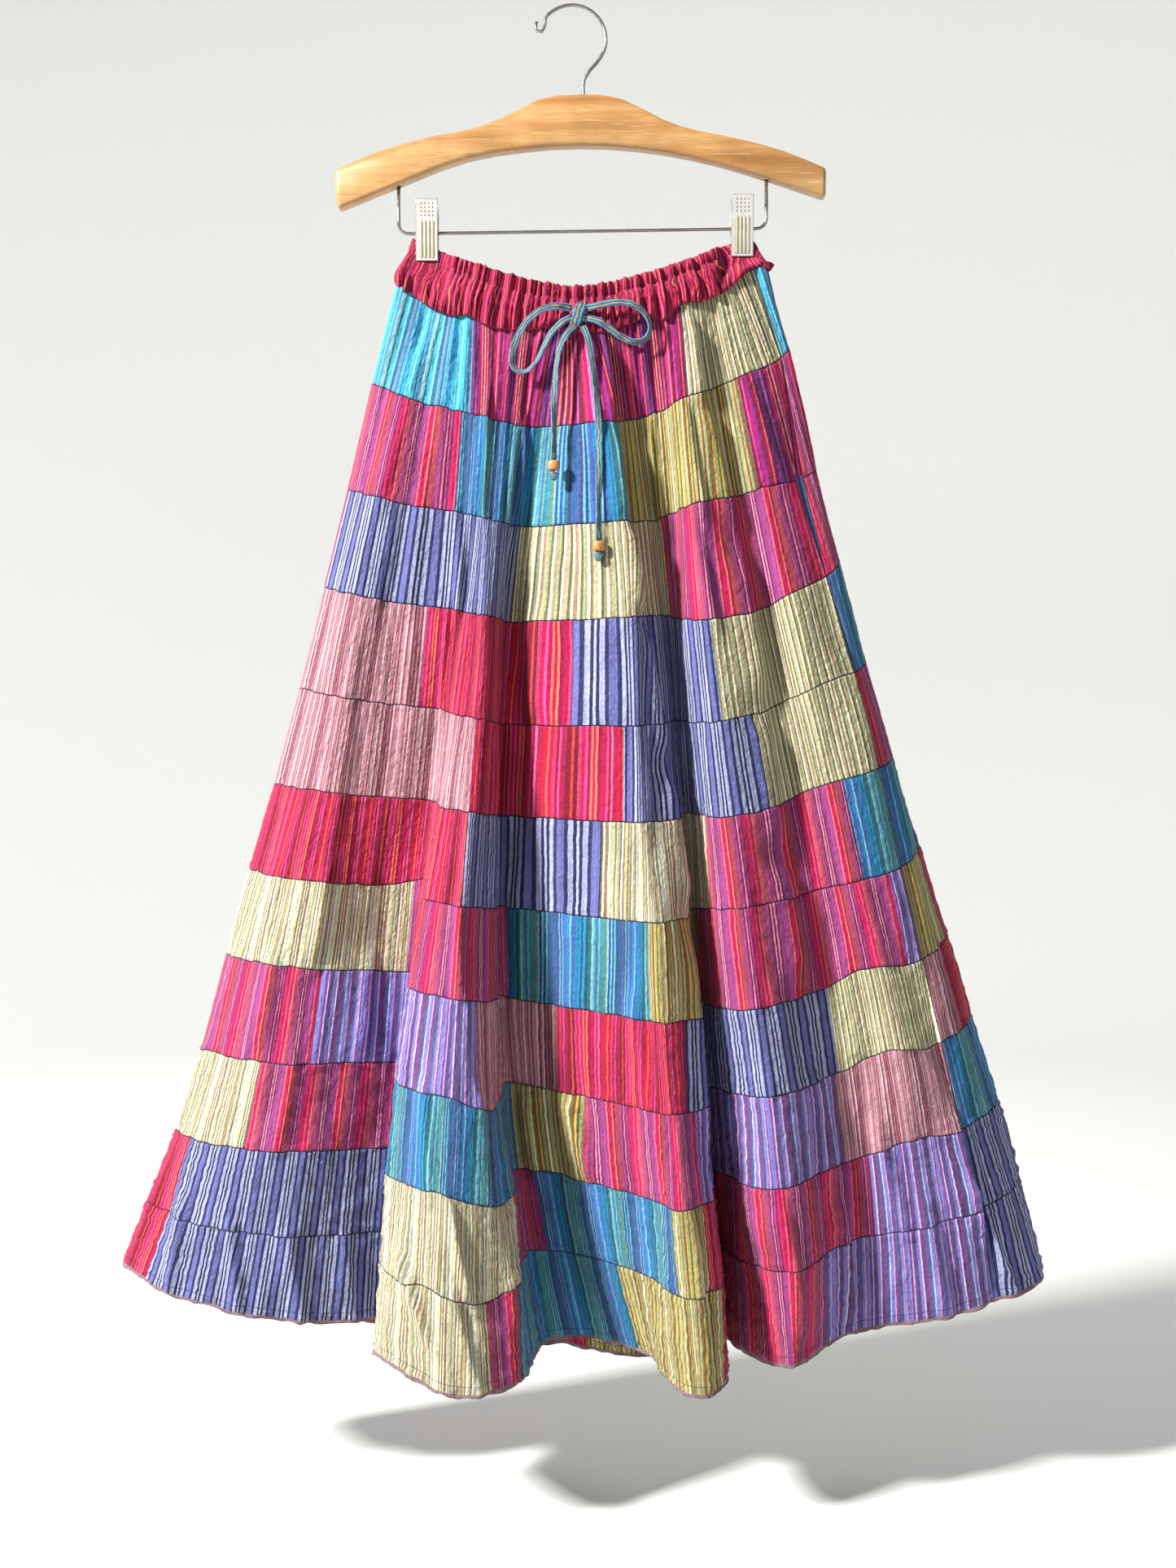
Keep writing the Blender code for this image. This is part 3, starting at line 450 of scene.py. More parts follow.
# The cotton cloths. Each is a washed plain weave whose coloured stripes run down the strip. One
# group gives the woven threads, the slubs and the washed-out patches, and each cloth has its own
# order of stripes, in millimetres, and the colour of the thread that crosses them.
THREAD = 0.0011
WEAVE_SWAY = 0.0013
WEFT_SHARE = 0.36
WEAVE_RELIEF = 0.0004
CRINKLE_RELIEF = 0.0012
STITCH_STEP = 0.0024
SEAM_LINE = 0.0004
PATCH_SEAM_SHADE = 0.0006
OVERLOCK = 0.0028
OVERLOCK_EDGE = 0.0004
OVERLOCK_PITCH = 0.0012
HEM_STITCH = 0.0085


def srgb(red, green, blue):
    """A colour as a swatch card gives it, 0 to 255, turned into the shader's linear values."""
    values = [v / 255 for v in (red, green, blue)]
    return tuple(v / 12.92 if v <= 0.04045 else ((v + 0.055) / 1.055) ** 2.4 for v in values) + (1.0,)


def new_group(name, inputs, outputs):
    """An empty shader group with named sockets. Returns it, its inputs' and its outputs' sockets."""
    group = bpy.data.node_groups.new(name, "ShaderNodeTree")
    for label, kind, value in inputs:
        socket = group.interface.new_socket(label, in_out="INPUT", socket_type="NodeSocket" + kind)
        if value is not None:
            socket.default_value = value
    for label, kind in outputs:
        group.interface.new_socket(label, in_out="OUTPUT", socket_type="NodeSocket" + kind)
    return group, group.nodes.new("NodeGroupInput").outputs, group.nodes.new("NodeGroupOutput").inputs


def maths(tree, operation, *values):
    """The result of a sum with numbers and other nodes' values."""
    return add_node(tree, "Math", dict(enumerate(values)), operation=operation).outputs[0]


def noise(tree, place, scale, detail, distortion=0.0, turned=(0.0, 0.0, 0.0)):
    """Noise, finer as its scale grows. A scale for each axis stretches it after it is turned."""
    if isinstance(scale, tuple):
        stretch = {"Vector": place, "Scale": scale, "Rotation": turned}
        place, scale = add_node(tree, "Mapping", stretch).outputs[0], 1.0
    inputs = {"Vector": place, "Scale": scale, "Detail": detail, "Distortion": distortion}
    return add_node(tree, "TexNoise", inputs).outputs[0]


def colour_ramp(tree, value, stops, interpolation="LINEAR"):
    """The colours that lie along a value from 0 to 1, each stop a place and a swatch's colour."""
    node = add_node(tree, "ValToRGB", {0: value})
    node.color_ramp.interpolation = interpolation
    for i, (place, *colour) in enumerate(stops):
        stop = node.color_ramp.elements[i] if i < 2 else node.color_ramp.elements.new(1.0)
        stop.position = place
        stop.color = srgb(*colour)
    return node.outputs[0]


def dimmed(tree, colour, factor):
    """A colour made darker below 1 and lighter above it."""
    return add_node(tree, "VectorMath", {0: colour, "Scale": factor}, operation="SCALE").outputs[0]


def link_looks(tree, shader, colour, bumps, roughness=None):
    """Links a shader's colour, bumps and roughness. Each bump is a height, the distance and the
    strength of its relief and, where high values are cut in, True."""
    tree.links.new(colour, shader.inputs["Base Color"])
    if roughness is not None:
        tree.links.new(roughness, shader.inputs["Roughness"])
    under = {}
    for height, distance, strength, *cut_in in bumps:
        relief = {"Height": height, "Distance": distance, "Strength": strength, **under}
        under = {"Normal": add_node(tree, "Bump", relief, invert=bool(cut_in)).outputs[0]}
    tree.links.new(under["Normal"], shader.inputs["Normal"])


weave, weave_in, weave_out = new_group(
    "washed weave",
    (("Place", "Vector", None), ("Slant", "Float", 0.0)),
    (("Place", "Vector"), ("Cross", "Float"), ("Fade", "Float"), ("Height", "Float")),
)
sway = noise(weave, weave_in["Place"], (70, 16, 1), 1.0)
sway = maths(weave, "MULTIPLY", maths(weave, "SUBTRACT", sway, 0.5), WEAVE_SWAY)
sway = add_node(weave, "CombineXYZ", {0: sway}).outputs[0]
swayed = add_node(weave, "VectorMath", {0: weave_in["Place"], 1: sway}, operation="ADD").outputs[0]
weave.links.new(swayed, weave_out["Place"])
parts = parted(weave, swayed)
slanted = maths(weave, "MULTIPLY_ADD", parts[1], weave_in["Slant"], parts[0])
ribs = maths(weave, "SINE", maths(weave, "MULTIPLY", slanted, 2 * pi / THREAD))
flecks = noise(weave, weave_in["Place"], (900, 1250, 1), 1.0)
cross = maths(weave, "MULTIPLY_ADD", ribs, 0.05, flecks)
weave.links.new(ranged(weave, cross, 0.42, 0.66), weave_out["Cross"])
upright = noise(weave, weave_in["Place"], (1300, 330, 1), 2.0)
worn = noise(weave, weave_in["Place"], (60, 26, 1), 3.0)
fade = ranged(weave, maths(weave, "MULTIPLY_ADD", worn, 0.6, upright), 0.55, 1.05)
warp = ranged(weave, noise(weave, swayed, (560, 3, 1), 1.0), 0.34, 0.66, -0.42, 0.42)
weave.links.new(maths(weave, "ADD", fade, warp), weave_out["Fade"])
relief = maths(weave, "MULTIPLY_ADD", ribs, 0.15, upright)
weave.links.new(maths(weave, "ADD", flecks, relief), weave_out["Height"])

crinkle, crinkle_in, crinkle_out = new_group(
    "washed crinkles", (("Place", "Vector", None),), (("Height", "Float"),)
)
small = maths(crinkle, "SUBTRACT", noise(crinkle, crinkle_in[0], (120, 70, 1), 4.0), 0.5)
small = ranged(crinkle, maths(crinkle, "ABSOLUTE", small), 0.0, 0.16)
crinkle.links.new(small, crinkle_out[0])

# The seams' stitches, and at the hem a band of overlocking threads and its own stitched line. Along the
# patches' upright seams a faint dark line is painted shade, where the seam dips.
sewing, sewing_in, sewing_out = new_group(
    "sewing",
    (("Place", "Vector", None), ("Seams", "Vector", None)),
    (("Line", "Float"), ("Overlock", "Float"), ("Threads", "Color")),
)
across = parted(sewing, sewing_in["Place"])[0]
to_strip, to_patch, to_hem = parted(sewing, sewing_in["Seams"])
dash = maths(sewing, "FRACT", maths(sewing, "DIVIDE", across, STITCH_STEP))
dash = ranged(sewing, dash, 0.55, 0.85, 1.0, 0.35)
line = ranged(sewing, to_strip, SEAM_LINE * 0.6, SEAM_LINE * 1.5, 0.9, 0.0)
hem_line = maths(sewing, "ABSOLUTE", maths(sewing, "SUBTRACT", to_hem, HEM_STITCH))
hem_line = ranged(sewing, hem_line, SEAM_LINE * 0.4, SEAM_LINE * 1.5, 0.75, 0.0)
line = maths(sewing, "MULTIPLY", maths(sewing, "MAXIMUM", line, hem_line), dash)
# Painted shade: a faint dark line along each upright patch seam, where its dip falls in shade; these seams
# have no dark thread
patch_seam_shade = ranged(sewing, to_patch, 0.0, PATCH_SEAM_SHADE, 0.45, 0.0)
sewing.links.new(maths(sewing, "MAXIMUM", line, patch_seam_shade), sewing_out["Line"])
overlock = ranged(sewing, to_hem, OVERLOCK - OVERLOCK_EDGE, OVERLOCK + OVERLOCK_EDGE, 1.0, 0.0)
sewing.links.new(overlock, sewing_out["Overlock"])
loops = maths(sewing, "MULTIPLY_ADD", to_hem, 0.6, across)
loops = maths(sewing, "SINE", maths(sewing, "MULTIPLY", loops, 2 * pi / OVERLOCK_PITCH))
fluff = noise(sewing, sewing_in["Place"], 900.0, 1.0)
loops = maths(sewing, "MULTIPLY_ADD", loops, 0.25, fluff)
threads = mixed(sewing, loops, srgb(74, 54, 66), srgb(158, 132, 136))
sewing.links.new(threads, sewing_out["Threads"])

# Each cloth: name, colour of the crossing thread, stripes as their width and colour
CLOTHS = {
    "A": ("turquoise stripe", (87, 158, 193), (
        (1.6, 100, 190, 196), (1.2, 36, 138, 165), (2.4, 109, 193, 194), (3.4, 55, 164, 188),
        (1.2, 18, 97, 141), (1.6, 109, 182, 212), (3.2, 69, 121, 162), (1.4, 109, 167, 199),
        (2.4, 124, 182, 165), (1.7, 76, 102, 137), (4.2, 56, 164, 203), (1.2, 136, 199, 218),
        (2.4, 16, 97, 137), (1.2, 36, 45, 86), (2.2, 95, 132, 167), (1.9, 64, 108, 141),
        (1.2, 36, 45, 86), (3.4, 78, 154, 196), (1.2, 18, 97, 141), (4.0, 44, 156, 203),
    )),
    "B": ("plum stripe", (118, 20, 82), (
        (1.6, 188, 56, 40), (1.2, 62, 10, 58), (2.6, 128, 12, 88), (1.2, 206, 92, 142),
        (3.0, 156, 12, 98), (2.0, 116, 42, 118), (2.8, 136, 6, 60), (1.2, 214, 92, 80),
        (2.6, 92, 6, 66), (2.6, 112, 52, 128), (1.2, 76, 6, 54), (1.4, 150, 88, 150),
        (2.6, 106, 12, 80), (2.6, 142, 12, 92), (1.2, 234, 124, 108), (1.9, 92, 2, 56),
        (1.2, 236, 136, 112), (2.4, 108, 8, 68), (1.2, 222, 108, 92), (3.0, 118, 8, 66),
        (1.4, 156, 84, 134), (2.8, 96, 14, 62), (1.6, 158, 36, 34), (1.2, 196, 56, 100),
        (2.6, 206, 18, 108), (1.2, 228, 124, 180),
    )),
    "C": ("sage stripe", (140, 136, 108), (
        (1.8, 146, 148, 112), (1.2, 76, 78, 52), (1.2, 224, 220, 186), (2.0, 172, 152, 130),
        (1.2, 84, 84, 58), (1.2, 222, 220, 184), (1.6, 150, 118, 98), (1.2, 214, 212, 170),
        (1.2, 96, 92, 62), (1.9, 152, 156, 118), (1.2, 236, 232, 204), (1.4, 118, 92, 74),
        (2.6, 168, 166, 126), (1.2, 222, 218, 182), (1.2, 62, 62, 44), (1.7, 132, 132, 96),
        (1.2, 226, 222, 188), (1.6, 140, 110, 92), (2.4, 158, 160, 122), (1.2, 84, 88, 60),
        (1.2, 222, 220, 182), (1.2, 168, 138, 120),
    )),
    "D": ("crimson and plum stripe", (155, 50, 99), (
        (2.7, 177, 7, 69), (1.2, 215, 82, 114), (2.7, 177, 7, 69), (1.2, 209, 101, 124),
        (3.2, 174, 72, 80), (4.6, 146, 58, 106), (1.2, 88, 14, 50), (1.2, 213, 137, 175),
        (1.2, 88, 12, 50), (1.2, 213, 130, 167), (1.2, 83, 12, 48), (2.8, 129, 55, 116),
        (4.2, 147, 59, 123), (1.2, 213, 112, 103), (3.8, 172, 2, 67), (1.2, 217, 110, 97),
        (1.6, 129, 7, 35), (3.4, 153, 61, 66), (3.6, 137, 55, 106), (1.2, 84, 12, 54),
        (1.2, 209, 120, 163), (1.2, 84, 12, 54), (1.2, 180, 63, 112), (1.8, 96, 34, 89),
        (1.2, 205, 25, 89),
    )),
    "E": ("sea blue stripe", (62, 113, 146), (
        (1.2, 56, 60, 120), (1.0, 104, 156, 186), (1.3, 18, 59, 110), (1.0, 89, 155, 182),
        (3.2, 64, 89, 160), (2.0, 28, 123, 174), (1.2, 111, 173, 194), (2.8, 56, 89, 158),
        (3.0, 19, 114, 160), (1.2, 13, 69, 105), (1.4, 30, 123, 151), (2.2, 16, 71, 100),
        (1.5, 49, 96, 91), (1.2, 115, 181, 182), (1.6, 65, 139, 160), (1.4, 70, 94, 139),
        (1.0, 111, 160, 144), (2.8, 47, 134, 151), (2.1, 89, 123, 96), (1.0, 126, 168, 177),
        (1.6, 10, 66, 126), (1.0, 111, 165, 187), (1.5, 9, 69, 126), (1.0, 104, 166, 184),
        (1.6, 13, 89, 115), (1.6, 59, 50, 96), (2.8, 33, 82, 134), (1.2, 67, 71, 126),
    )),
    "F": ("olive stripe", (138, 134, 90), (
        (3.4, 156, 156, 108), (1.2, 140, 56, 40), (2.2, 160, 158, 112), (1.2, 80, 96, 50),
        (1.7, 128, 68, 44), (1.2, 208, 172, 76), (2.0, 146, 148, 100), (1.6, 70, 86, 42),
        (1.2, 208, 172, 76), (2.8, 156, 156, 110), (1.2, 146, 52, 38), (2.2, 152, 154, 106),
        (1.4, 212, 212, 166), (1.2, 88, 100, 56), (2.2, 118, 62, 40), (1.2, 208, 174, 80),
        (1.3, 66, 80, 40), (2.6, 154, 156, 108), (1.2, 148, 54, 38), (2.2, 214, 214, 172),
        (1.2, 84, 98, 54),
    )),
    "G": ("navy and periwinkle stripe", (80, 84, 140), (
        (4.4, 98, 102, 158), (2.4, 20, 26, 66), (3.0, 158, 162, 196), (1.7, 18, 24, 62),
        (1.4, 172, 176, 206), (1.7, 18, 24, 62), (2.8, 156, 160, 194), (2.2, 22, 28, 68),
    )),
    "H": ("dusty pink stripe", (158, 112, 123), (
        (2.2, 179, 125, 136), (1.2, 130, 81, 91), (1.3, 192, 140, 149), (1.2, 136, 83, 93),
        (1.2, 214, 177, 186), (1.9, 171, 116, 128), (1.2, 121, 68, 82), (1.2, 197, 138, 145),
        (1.2, 104, 48, 61), (2.8, 173, 127, 140), (1.2, 216, 184, 195), (1.5, 100, 53, 69),
        (1.3, 177, 107, 115), (1.2, 208, 169, 179), (1.3, 82, 31, 45), (1.2, 156, 92, 104),
        (1.2, 82, 31, 45), (1.2, 153, 90, 102), (1.2, 86, 37, 50), (1.2, 199, 155, 166),
        (1.6, 140, 85, 100), (2.6, 171, 121, 136), (1.2, 212, 180, 192),
    )),
    "I": ("cerise stripe", (157, 12, 57), (
        (2.7, 155, 6, 64), (1.3, 200, 66, 126), (1.4, 153, 5, 54), (1.2, 209, 100, 144),
        (3.0, 150, 15, 66), (2.6, 180, 15, 44), (1.2, 215, 89, 88), (1.6, 166, 3, 42),
        (2.2, 173, 47, 88), (1.2, 135, 3, 44), (1.2, 202, 71, 134), (1.4, 144, 3, 50),
        (1.4, 135, 28, 72), (2.8, 112, 3, 32), (1.2, 186, 66, 54), (2.0, 99, 3, 34),
        (1.6, 176, 58, 100), (1.8, 176, 2, 70), (1.2, 200, 73, 126), (1.6, 159, 3, 64),
        (1.2, 213, 101, 88), (1.2, 172, 19, 48), (1.2, 215, 108, 92), (2.0, 126, 3, 50),
    )),
    "J": ("cream and khaki stripe", (158, 152, 124), (
        (1.6, 157, 151, 109), (1.2, 127, 95, 76), (1.2, 213, 211, 191), (1.9, 154, 147, 124),
        (1.2, 84, 87, 61), (1.4, 205, 206, 178), (2.4, 161, 161, 141), (1.2, 217, 219, 216),
        (3.6, 196, 198, 162), (1.6, 131, 95, 74), (1.2, 207, 200, 168), (1.2, 79, 81, 52),
        (1.2, 209, 206, 178), (2.2, 132, 97, 82), (1.2, 217, 213, 189), (2.6, 169, 167, 134),
        (1.2, 115, 113, 86), (2.4, 173, 171, 141), (1.2, 86, 85, 61), (1.2, 223, 223, 218),
        (1.5, 142, 109, 92), (2.2, 198, 188, 147), (1.2, 100, 101, 74),
    )),
    "K": ("violet stripe", (108, 94, 159), (
        (3.6, 72, 81, 129), (1.2, 199, 205, 237), (3.0, 124, 118, 194), (1.2, 189, 178, 227),
        (1.5, 138, 40, 106), (4.6, 81, 79, 129), (2.6, 132, 124, 189), (1.2, 194, 178, 224),
        (1.2, 140, 40, 109), (3.6, 118, 126, 199), (2.2, 130, 59, 125), (1.2, 198, 172, 222),
        (4.0, 81, 67, 116), (3.2, 130, 107, 177), (1.2, 204, 199, 234), (2.8, 89, 59, 113),
        (1.5, 140, 39, 99),
    )),
}
TWILL = {"D": 1.0, "K": 1.0}
# The stitches' dark thread colour, also used for the painted shade along the upright patch seams
STITCH_AND_SEAM_SHADE_COLOUR = srgb(42, 38, 66)


def striped_cotton(letter, name, weft, stripes):
    """A striped washed cotton. It reads the map named cloth, in metres, and the seam distances."""
    material, tree, shader = new_material(
        name, Roughness=0.88, Sheen_Weight=0.06, Sheen_Roughness=0.6, Specular_IOR_Level=0.25
    )
    place = add_node(tree, "UVMap", uv_map="cloth").outputs[0]
    slant = TWILL.get(letter, 0.0)
    woven = add_node(tree, "Group", {"Place": place, "Slant": slant}, node_tree=weave).outputs
    period = sum(width for width, *_ in stripes) / 1000
    share = maths(tree, "DIVIDE", parted(tree, woven["Place"])[0], period)
    stops, edge = [], 0.0
    for width, *colour in stripes:
        stops.append((edge / period / 1000, *colour))
        edge += width
    colour = colour_ramp(tree, maths(tree, "FRACT", share), stops, "CONSTANT")
    colour = mixed(tree, maths(tree, "MULTIPLY", woven["Cross"], WEFT_SHARE), colour, srgb(*weft))
    colour = dimmed(tree, colour, ranged(tree, woven["Fade"], -0.4, 1.4, 0.42, 1.46))
    seams = add_node(tree, "Attribute", attribute_name="seams", attribute_type="GEOMETRY")
    inputs = {"Place": place, "Seams": seams.outputs["Vector"]}
    sewn = add_node(tree, "Group", inputs, node_tree=sewing).outputs
    # Dark thread on the stitched lines, and painted shade along the upright patch seams
    colour = mixed(tree, sewn["Line"], colour, STITCH_AND_SEAM_SHADE_COLOUR)
    colour = mixed(tree, sewn["Overlock"], colour, sewn["Threads"])
    crinkles = add_node(tree, "Group", {0: place}, node_tree=crinkle).outputs[0]
    reliefs = ((crinkles, CRINKLE_RELIEF, 0.6), (woven["Height"], WEAVE_RELIEF, 0.5))
    link_looks(tree, shader, colour, reliefs)
    return material


cottons = {
    letter: striped_cotton(letter, *cloth) for letter, cloth in CLOTHS.items()
}


# The eleven strips, each a row of upright patches sewn edge to edge, front and back. They are
# thin shells on the folds' surface, puckered along their seams and creased from washing.
CLOTH_HALF = 0.00045  # half of the cloth's thickness
CLOTH_EDGE = 0.55  # of that thickness, where an edge is pressed
COLUMN_PITCH = 0.0029
GATHERED_PITCH = 0.55  # of that pitch, in the strips that the band gathers
FULLNESS = 1.08  # flat cloth for each metre of the folds' line
FULL_HEIGHT = 1.02  # and for each metre down a strip
STEADY_HEAD = 0.3  # the share of the first strip that stays straight under the band
SEWN_DOWN = 0.012  # the width beside a side seam where the cloth has no creases
GATHERS = 28
GATHER_DEPTH = 0.0017
ROW_SHARES = (
    0, 0.010, 0.022, 0.045, 0.075, 0.11, 0.15, 0.20, 0.26, 0.32, 0.38, 0.44, 0.5, 0.56, 0.62, 0.68,
    0.74, 0.80, 0.85, 0.89, 0.925, 0.955, 0.978, 0.990, 1,
)
EDGE_ROLL = 0.0009
EDGE_DIP = 0.0004
PATCH_SEAM_DIP, PATCH_SEAM_WIDTH = 0.0004, 0.0018
COLUMN_BESIDE, COLUMN_CLEAR = 0.0012, 0.0015  # shares of the strip, beside a line of stitches
TOPSTITCH = 0.0062  # from the edge of the pocket opening to its line of stitches
HEM_ROLL = 0.0024
HEM_SWELL = 0.9
HEM_RIPPLE, HEM_WAVE = 0.0016, 0.0011
MAP_SLIDE = 0.0173  # so that a strip's stripes start elsewhere than the strip above
CLEAR_OF_SEAM = 0.05  # a distance past a strip's seam, where there is none
UNSEWN = 1.0  # a distance past any other stitches

# Each row: the front strip's patches as cloth letter and the share of the strip where it ends,
# then the back strip's, which start at the right side seam.
PATCHES = (
    (("A", 0.238), ("B", 0.831), ("C", 1.0)),
    (("A", 0.22), ("C", 0.47), ("E", 0.74), ("B", 1.0)),
    (("D", 0.220), ("E", 0.611), ("F", 0.938), ("B", 0.975), ("D", 1.0)),
    (("D", 0.26), ("F", 0.50), ("A", 0.78), ("D", 1.0)),
    (("I", 0.012), ("G", 0.464), ("C", 0.717), ("D", 1.0)),
    (("D", 0.24), ("G", 0.46), ("H", 0.72), ("I", 1.0)),
    (("H", 0.196), ("I", 0.525), ("G", 0.833), ("C", 1.0)),
    (("E", 0.22), ("I", 0.45), ("C", 0.70), ("H", 1.0)),
    (("H", 0.338), ("I", 0.564), ("G", 0.867), ("C", 1.0)),
    (("D", 0.23), ("K", 0.47), ("F", 0.68), ("H", 1.0)),
    (("I", 0.337), ("G", 0.548), ("J", 0.784), ("D", 0.951), ("E", 1.0)),
    (("E", 0.18), ("H", 0.42), ("G", 0.66), ("A", 0.84), ("I", 1.0)),
    (("J", 0.210), ("D", 0.479), ("E", 0.598), ("F", 0.751), ("D", 0.966), ("K", 1.0)),
    (("F", 0.05), ("I", 0.26), ("K", 0.46), ("C", 0.64), ("B", 0.84), ("J", 1.0)),
    (("D", 0.131), ("K", 0.368), ("H", 0.517), ("I", 0.644), ("G", 0.896), ("C", 1.0)),
    (("H", 0.03), ("I", 0.20), ("A", 0.38), ("D", 0.57), ("J", 0.76), ("E", 0.90), ("D", 1.0)),
    (("J", 0.088), ("D", 0.250), ("E", 0.470), ("F", 0.536), ("D", 0.650), ("K", 0.891), ("H", 1.0)),
    (("E", 0.20), ("G", 0.37), ("I", 0.52), ("F", 0.70), ("K", 0.88), ("J", 1.0)),
    (("I", 0.034), ("G", 0.247), ("J", 0.412), ("D", 0.491), ("E", 0.613), ("F", 0.649),
     ("I", 0.772), ("D", 0.913), ("K", 1.0)),
    (("G", 0.10), ("J", 0.25), ("D", 0.41), ("E", 0.57), ("H", 0.74), ("G", 0.90), ("I", 1.0)),
    (("I", 0.033), ("G", 0.241), ("J", 0.375), ("D", 0.403), ("E", 0.549), ("F", 0.662),
     ("I", 0.770), ("D", 0.867), ("K", 1.0)),
    (("G", 0.12), ("C", 0.30), ("F", 0.555), ("I", 0.69), ("D", 0.80), ("A", 0.91), ("I", 1.0)),
)

# The creases that show most. Each runs down the cloth between two levels, its left side gentle and
# its right side steep. Columns: place and level of its top, place and level of its foot, half of
# its width, how far it stands out
CREASES = (
    (0.712, -0.1, 0.674, 1.1, 0.008, 0.0035), (0.674, 1.0, 0.667, 2.1, 0.008, 0.0040),
    (0.667, 1.9, 0.718, 3.1, 0.010, 0.0055), (0.718, 2.9, 0.753, 4.5, 0.012, 0.0065),
    (0.753, 4.3, 0.763, 6.1, 0.012, 0.0060), (0.763, 5.8, 0.771, 8.8, 0.012, 0.0050),
    (0.994, 0.1, 0.992, 1.2, 0.008, 0.0040), (1.005, 1.0, 1.029, 2.5, 0.009, 0.0055),
    (1.029, 2.2, 1.019, 4.1, 0.011, 0.0060), (1.019, 3.8, 1.009, 5.7, 0.012, 0.0055),
    (1.009, 5.4, 1.014, 7.0, 0.012, 0.0050), (0.825, 0.9, 0.834, 2.2, 0.006, 0.0030),
    (0.955, 0.9, 0.978, 2.4, 0.006, 0.0030), (0.598, 0.8, 0.612, 2.2, 0.006, 0.0028),
    (0.479, 0.7, 0.550, 2.1, 0.007, 0.0030), (0.332, 0.6, 0.363, 2.2, 0.007, 0.0030),
    (1.104, 0.9, 1.129, 2.2, 0.007, 0.0028), (0.594, 2.2, 0.603, 3.3, 0.006, 0.0022),
    (0.957, 2.2, 0.978, 3.3, 0.006, 0.0025), (0.258, 1.8, 0.300, 3.3, 0.008, 0.0026),
    (0.197, 1.7, 0.203, 3.3, 0.008, 0.0024), (0.130, 0.2, 0.120, 2.4, 0.007, 0.0028),
    (0.633, 2.8, 0.646, 4.2, 0.007, 0.0026), (0.578, 2.7, 0.585, 4.1, 0.008, 0.0028),
    (0.251, 2.8, 0.271, 4.3, 0.009, 0.0024), (0.516, 1.8, 0.564, 3.9, 0.010, -0.0035),
    (0.564, 3.6, 0.558, 6.1, 0.010, -0.0035), (0.141, 5.7, 0.143, 7.2, 0.010, 0.0028),
    (0.203, 6.6, 0.204, 8.0, 0.010, 0.0028), (0.098, 6.6, 0.101, 8.0, 0.009, 0.0025),
    (0.134, 7.6, 0.135, 9.1, 0.010, 0.0028), (1.066, 6.5, 1.065, 8.2, 0.011, 0.0032),
    (1.010, 7.7, 1.024, 9.4, 0.009, 0.0035), (0.961, 6.7, 0.962, 8.2, 0.009, 0.0028),
    (0.671, 6.6, 0.691, 8.2, 0.010, 0.0030), (0.611, 5.8, 0.618, 7.2, 0.009, 0.0025),
    (0.381, 5.7, 0.404, 7.2, 0.010, 0.0028), (0.362, 7.7, 0.382, 9.2, 0.010, 0.0030),
    (0.427, 7.6, 0.441, 9.2, 0.008, 0.0026), (0.391, 8.8, 0.424, 10.2, 0.007, 0.0048),
    (0.350, 9.6, 0.388, 10.7, 0.007, 0.0050), (0.400, 9.7, 0.430, 11.3, 0.008, 0.0038),
    (1.150, 9.3, 1.176, 11.2, 0.007, 0.0052), (1.105, 9.4, 1.118, 11.3, 0.008, 0.0038),
    (1.022, 9.2, 1.036, 11.2, 0.008, 0.0040), (0.607, 7.9, 0.628, 9.1, 0.010, 0.0048),
    (0.569, 8.0, 0.572, 9.4, 0.008, 0.0035), (0.095, 9.5, 0.132, 11.3, 0.009, 0.0040),
    (0.148, 9.7, 0.184, 11.3, 0.009, 0.0036), (0.200, 9.8, 0.222, 11.3, 0.008, 0.0034),
    (0.055, 9.5, 0.070, 11.3, 0.008, 0.0040), (0.958, 8.9, 0.980, 11.0, 0.009, 0.0042),
    (1.070, 8.4, 1.092, 10.5, 0.009, 0.0040), (0.738, 8.9, 0.742, 11.3, 0.009, 0.0034),
    (1.300, 7.2, 1.310, 9.6, 0.009, 0.0040), (1.420, 3.2, 1.450, 5.8, 0.009, 0.0032),
    (1.560, 8.4, 1.540, 10.9, 0.009, 0.0045), (1.660, 0.8, 1.690, 3.6, 0.009, 0.0034),
    (1.790, 5.9, 1.760, 8.2, 0.010, 0.0038), (1.880, 9.1, 1.910, 11.3, 0.008, 0.0045),
    (1.990, 1.9, 1.960, 4.9, 0.009, 0.0034), (2.080, 7.8, 2.110, 10.4, 0.009, 0.0040),
    (1.480, 0.3, 1.470, 2.3, 0.007, 0.0030), (1.350, 9.6, 1.380, 11.3, 0.007, 0.0046),
)
CREASE_SHARE = 1.55
CREASE_STEEP = 0.55  # the right side's width, as a share of the left side's
CREASE_FADE = 0.28  # at either end, as a share of its length
PUCKER_AT_WAIST, PUCKER_AT_HEM = 0.0007, 0.0012
FINE_AT_WAIST, FINE_AT_HEM = 0.0002, 0.0013
# Columns: seed, waves round the hem, waves down the skirt, height at the waist and at the hem
CRINKLES = ((23, 52, 7, 0.0014, 0.0042), (24, 124, 12, 0.0010, 0.0026))
# Columns: seed, waves round the hem, waves down the skirt, slant
FINE_CRINKLES = ((25, 190, 56, 1.1), (26, 170, 64, -0.8))
# Columns: seed, waves round the hem, waves down the skirt, height at the waist
FLUTES = ((28, 48, 5, 0.0024), (29, 104, 6, 0.0014))


def gather_turns(along):
    """The gathers under the band, uneven: turns of their wave since the left side seam."""
    front = along < FRONT_HEM
    share = np.where(front, along / FRONT_HEM, 1 + (along - FRONT_HEM) / BACK_HEM)
    return GATHERS * share + 0.42 * wander(11, along, np.zeros_like(along), 60, 1)


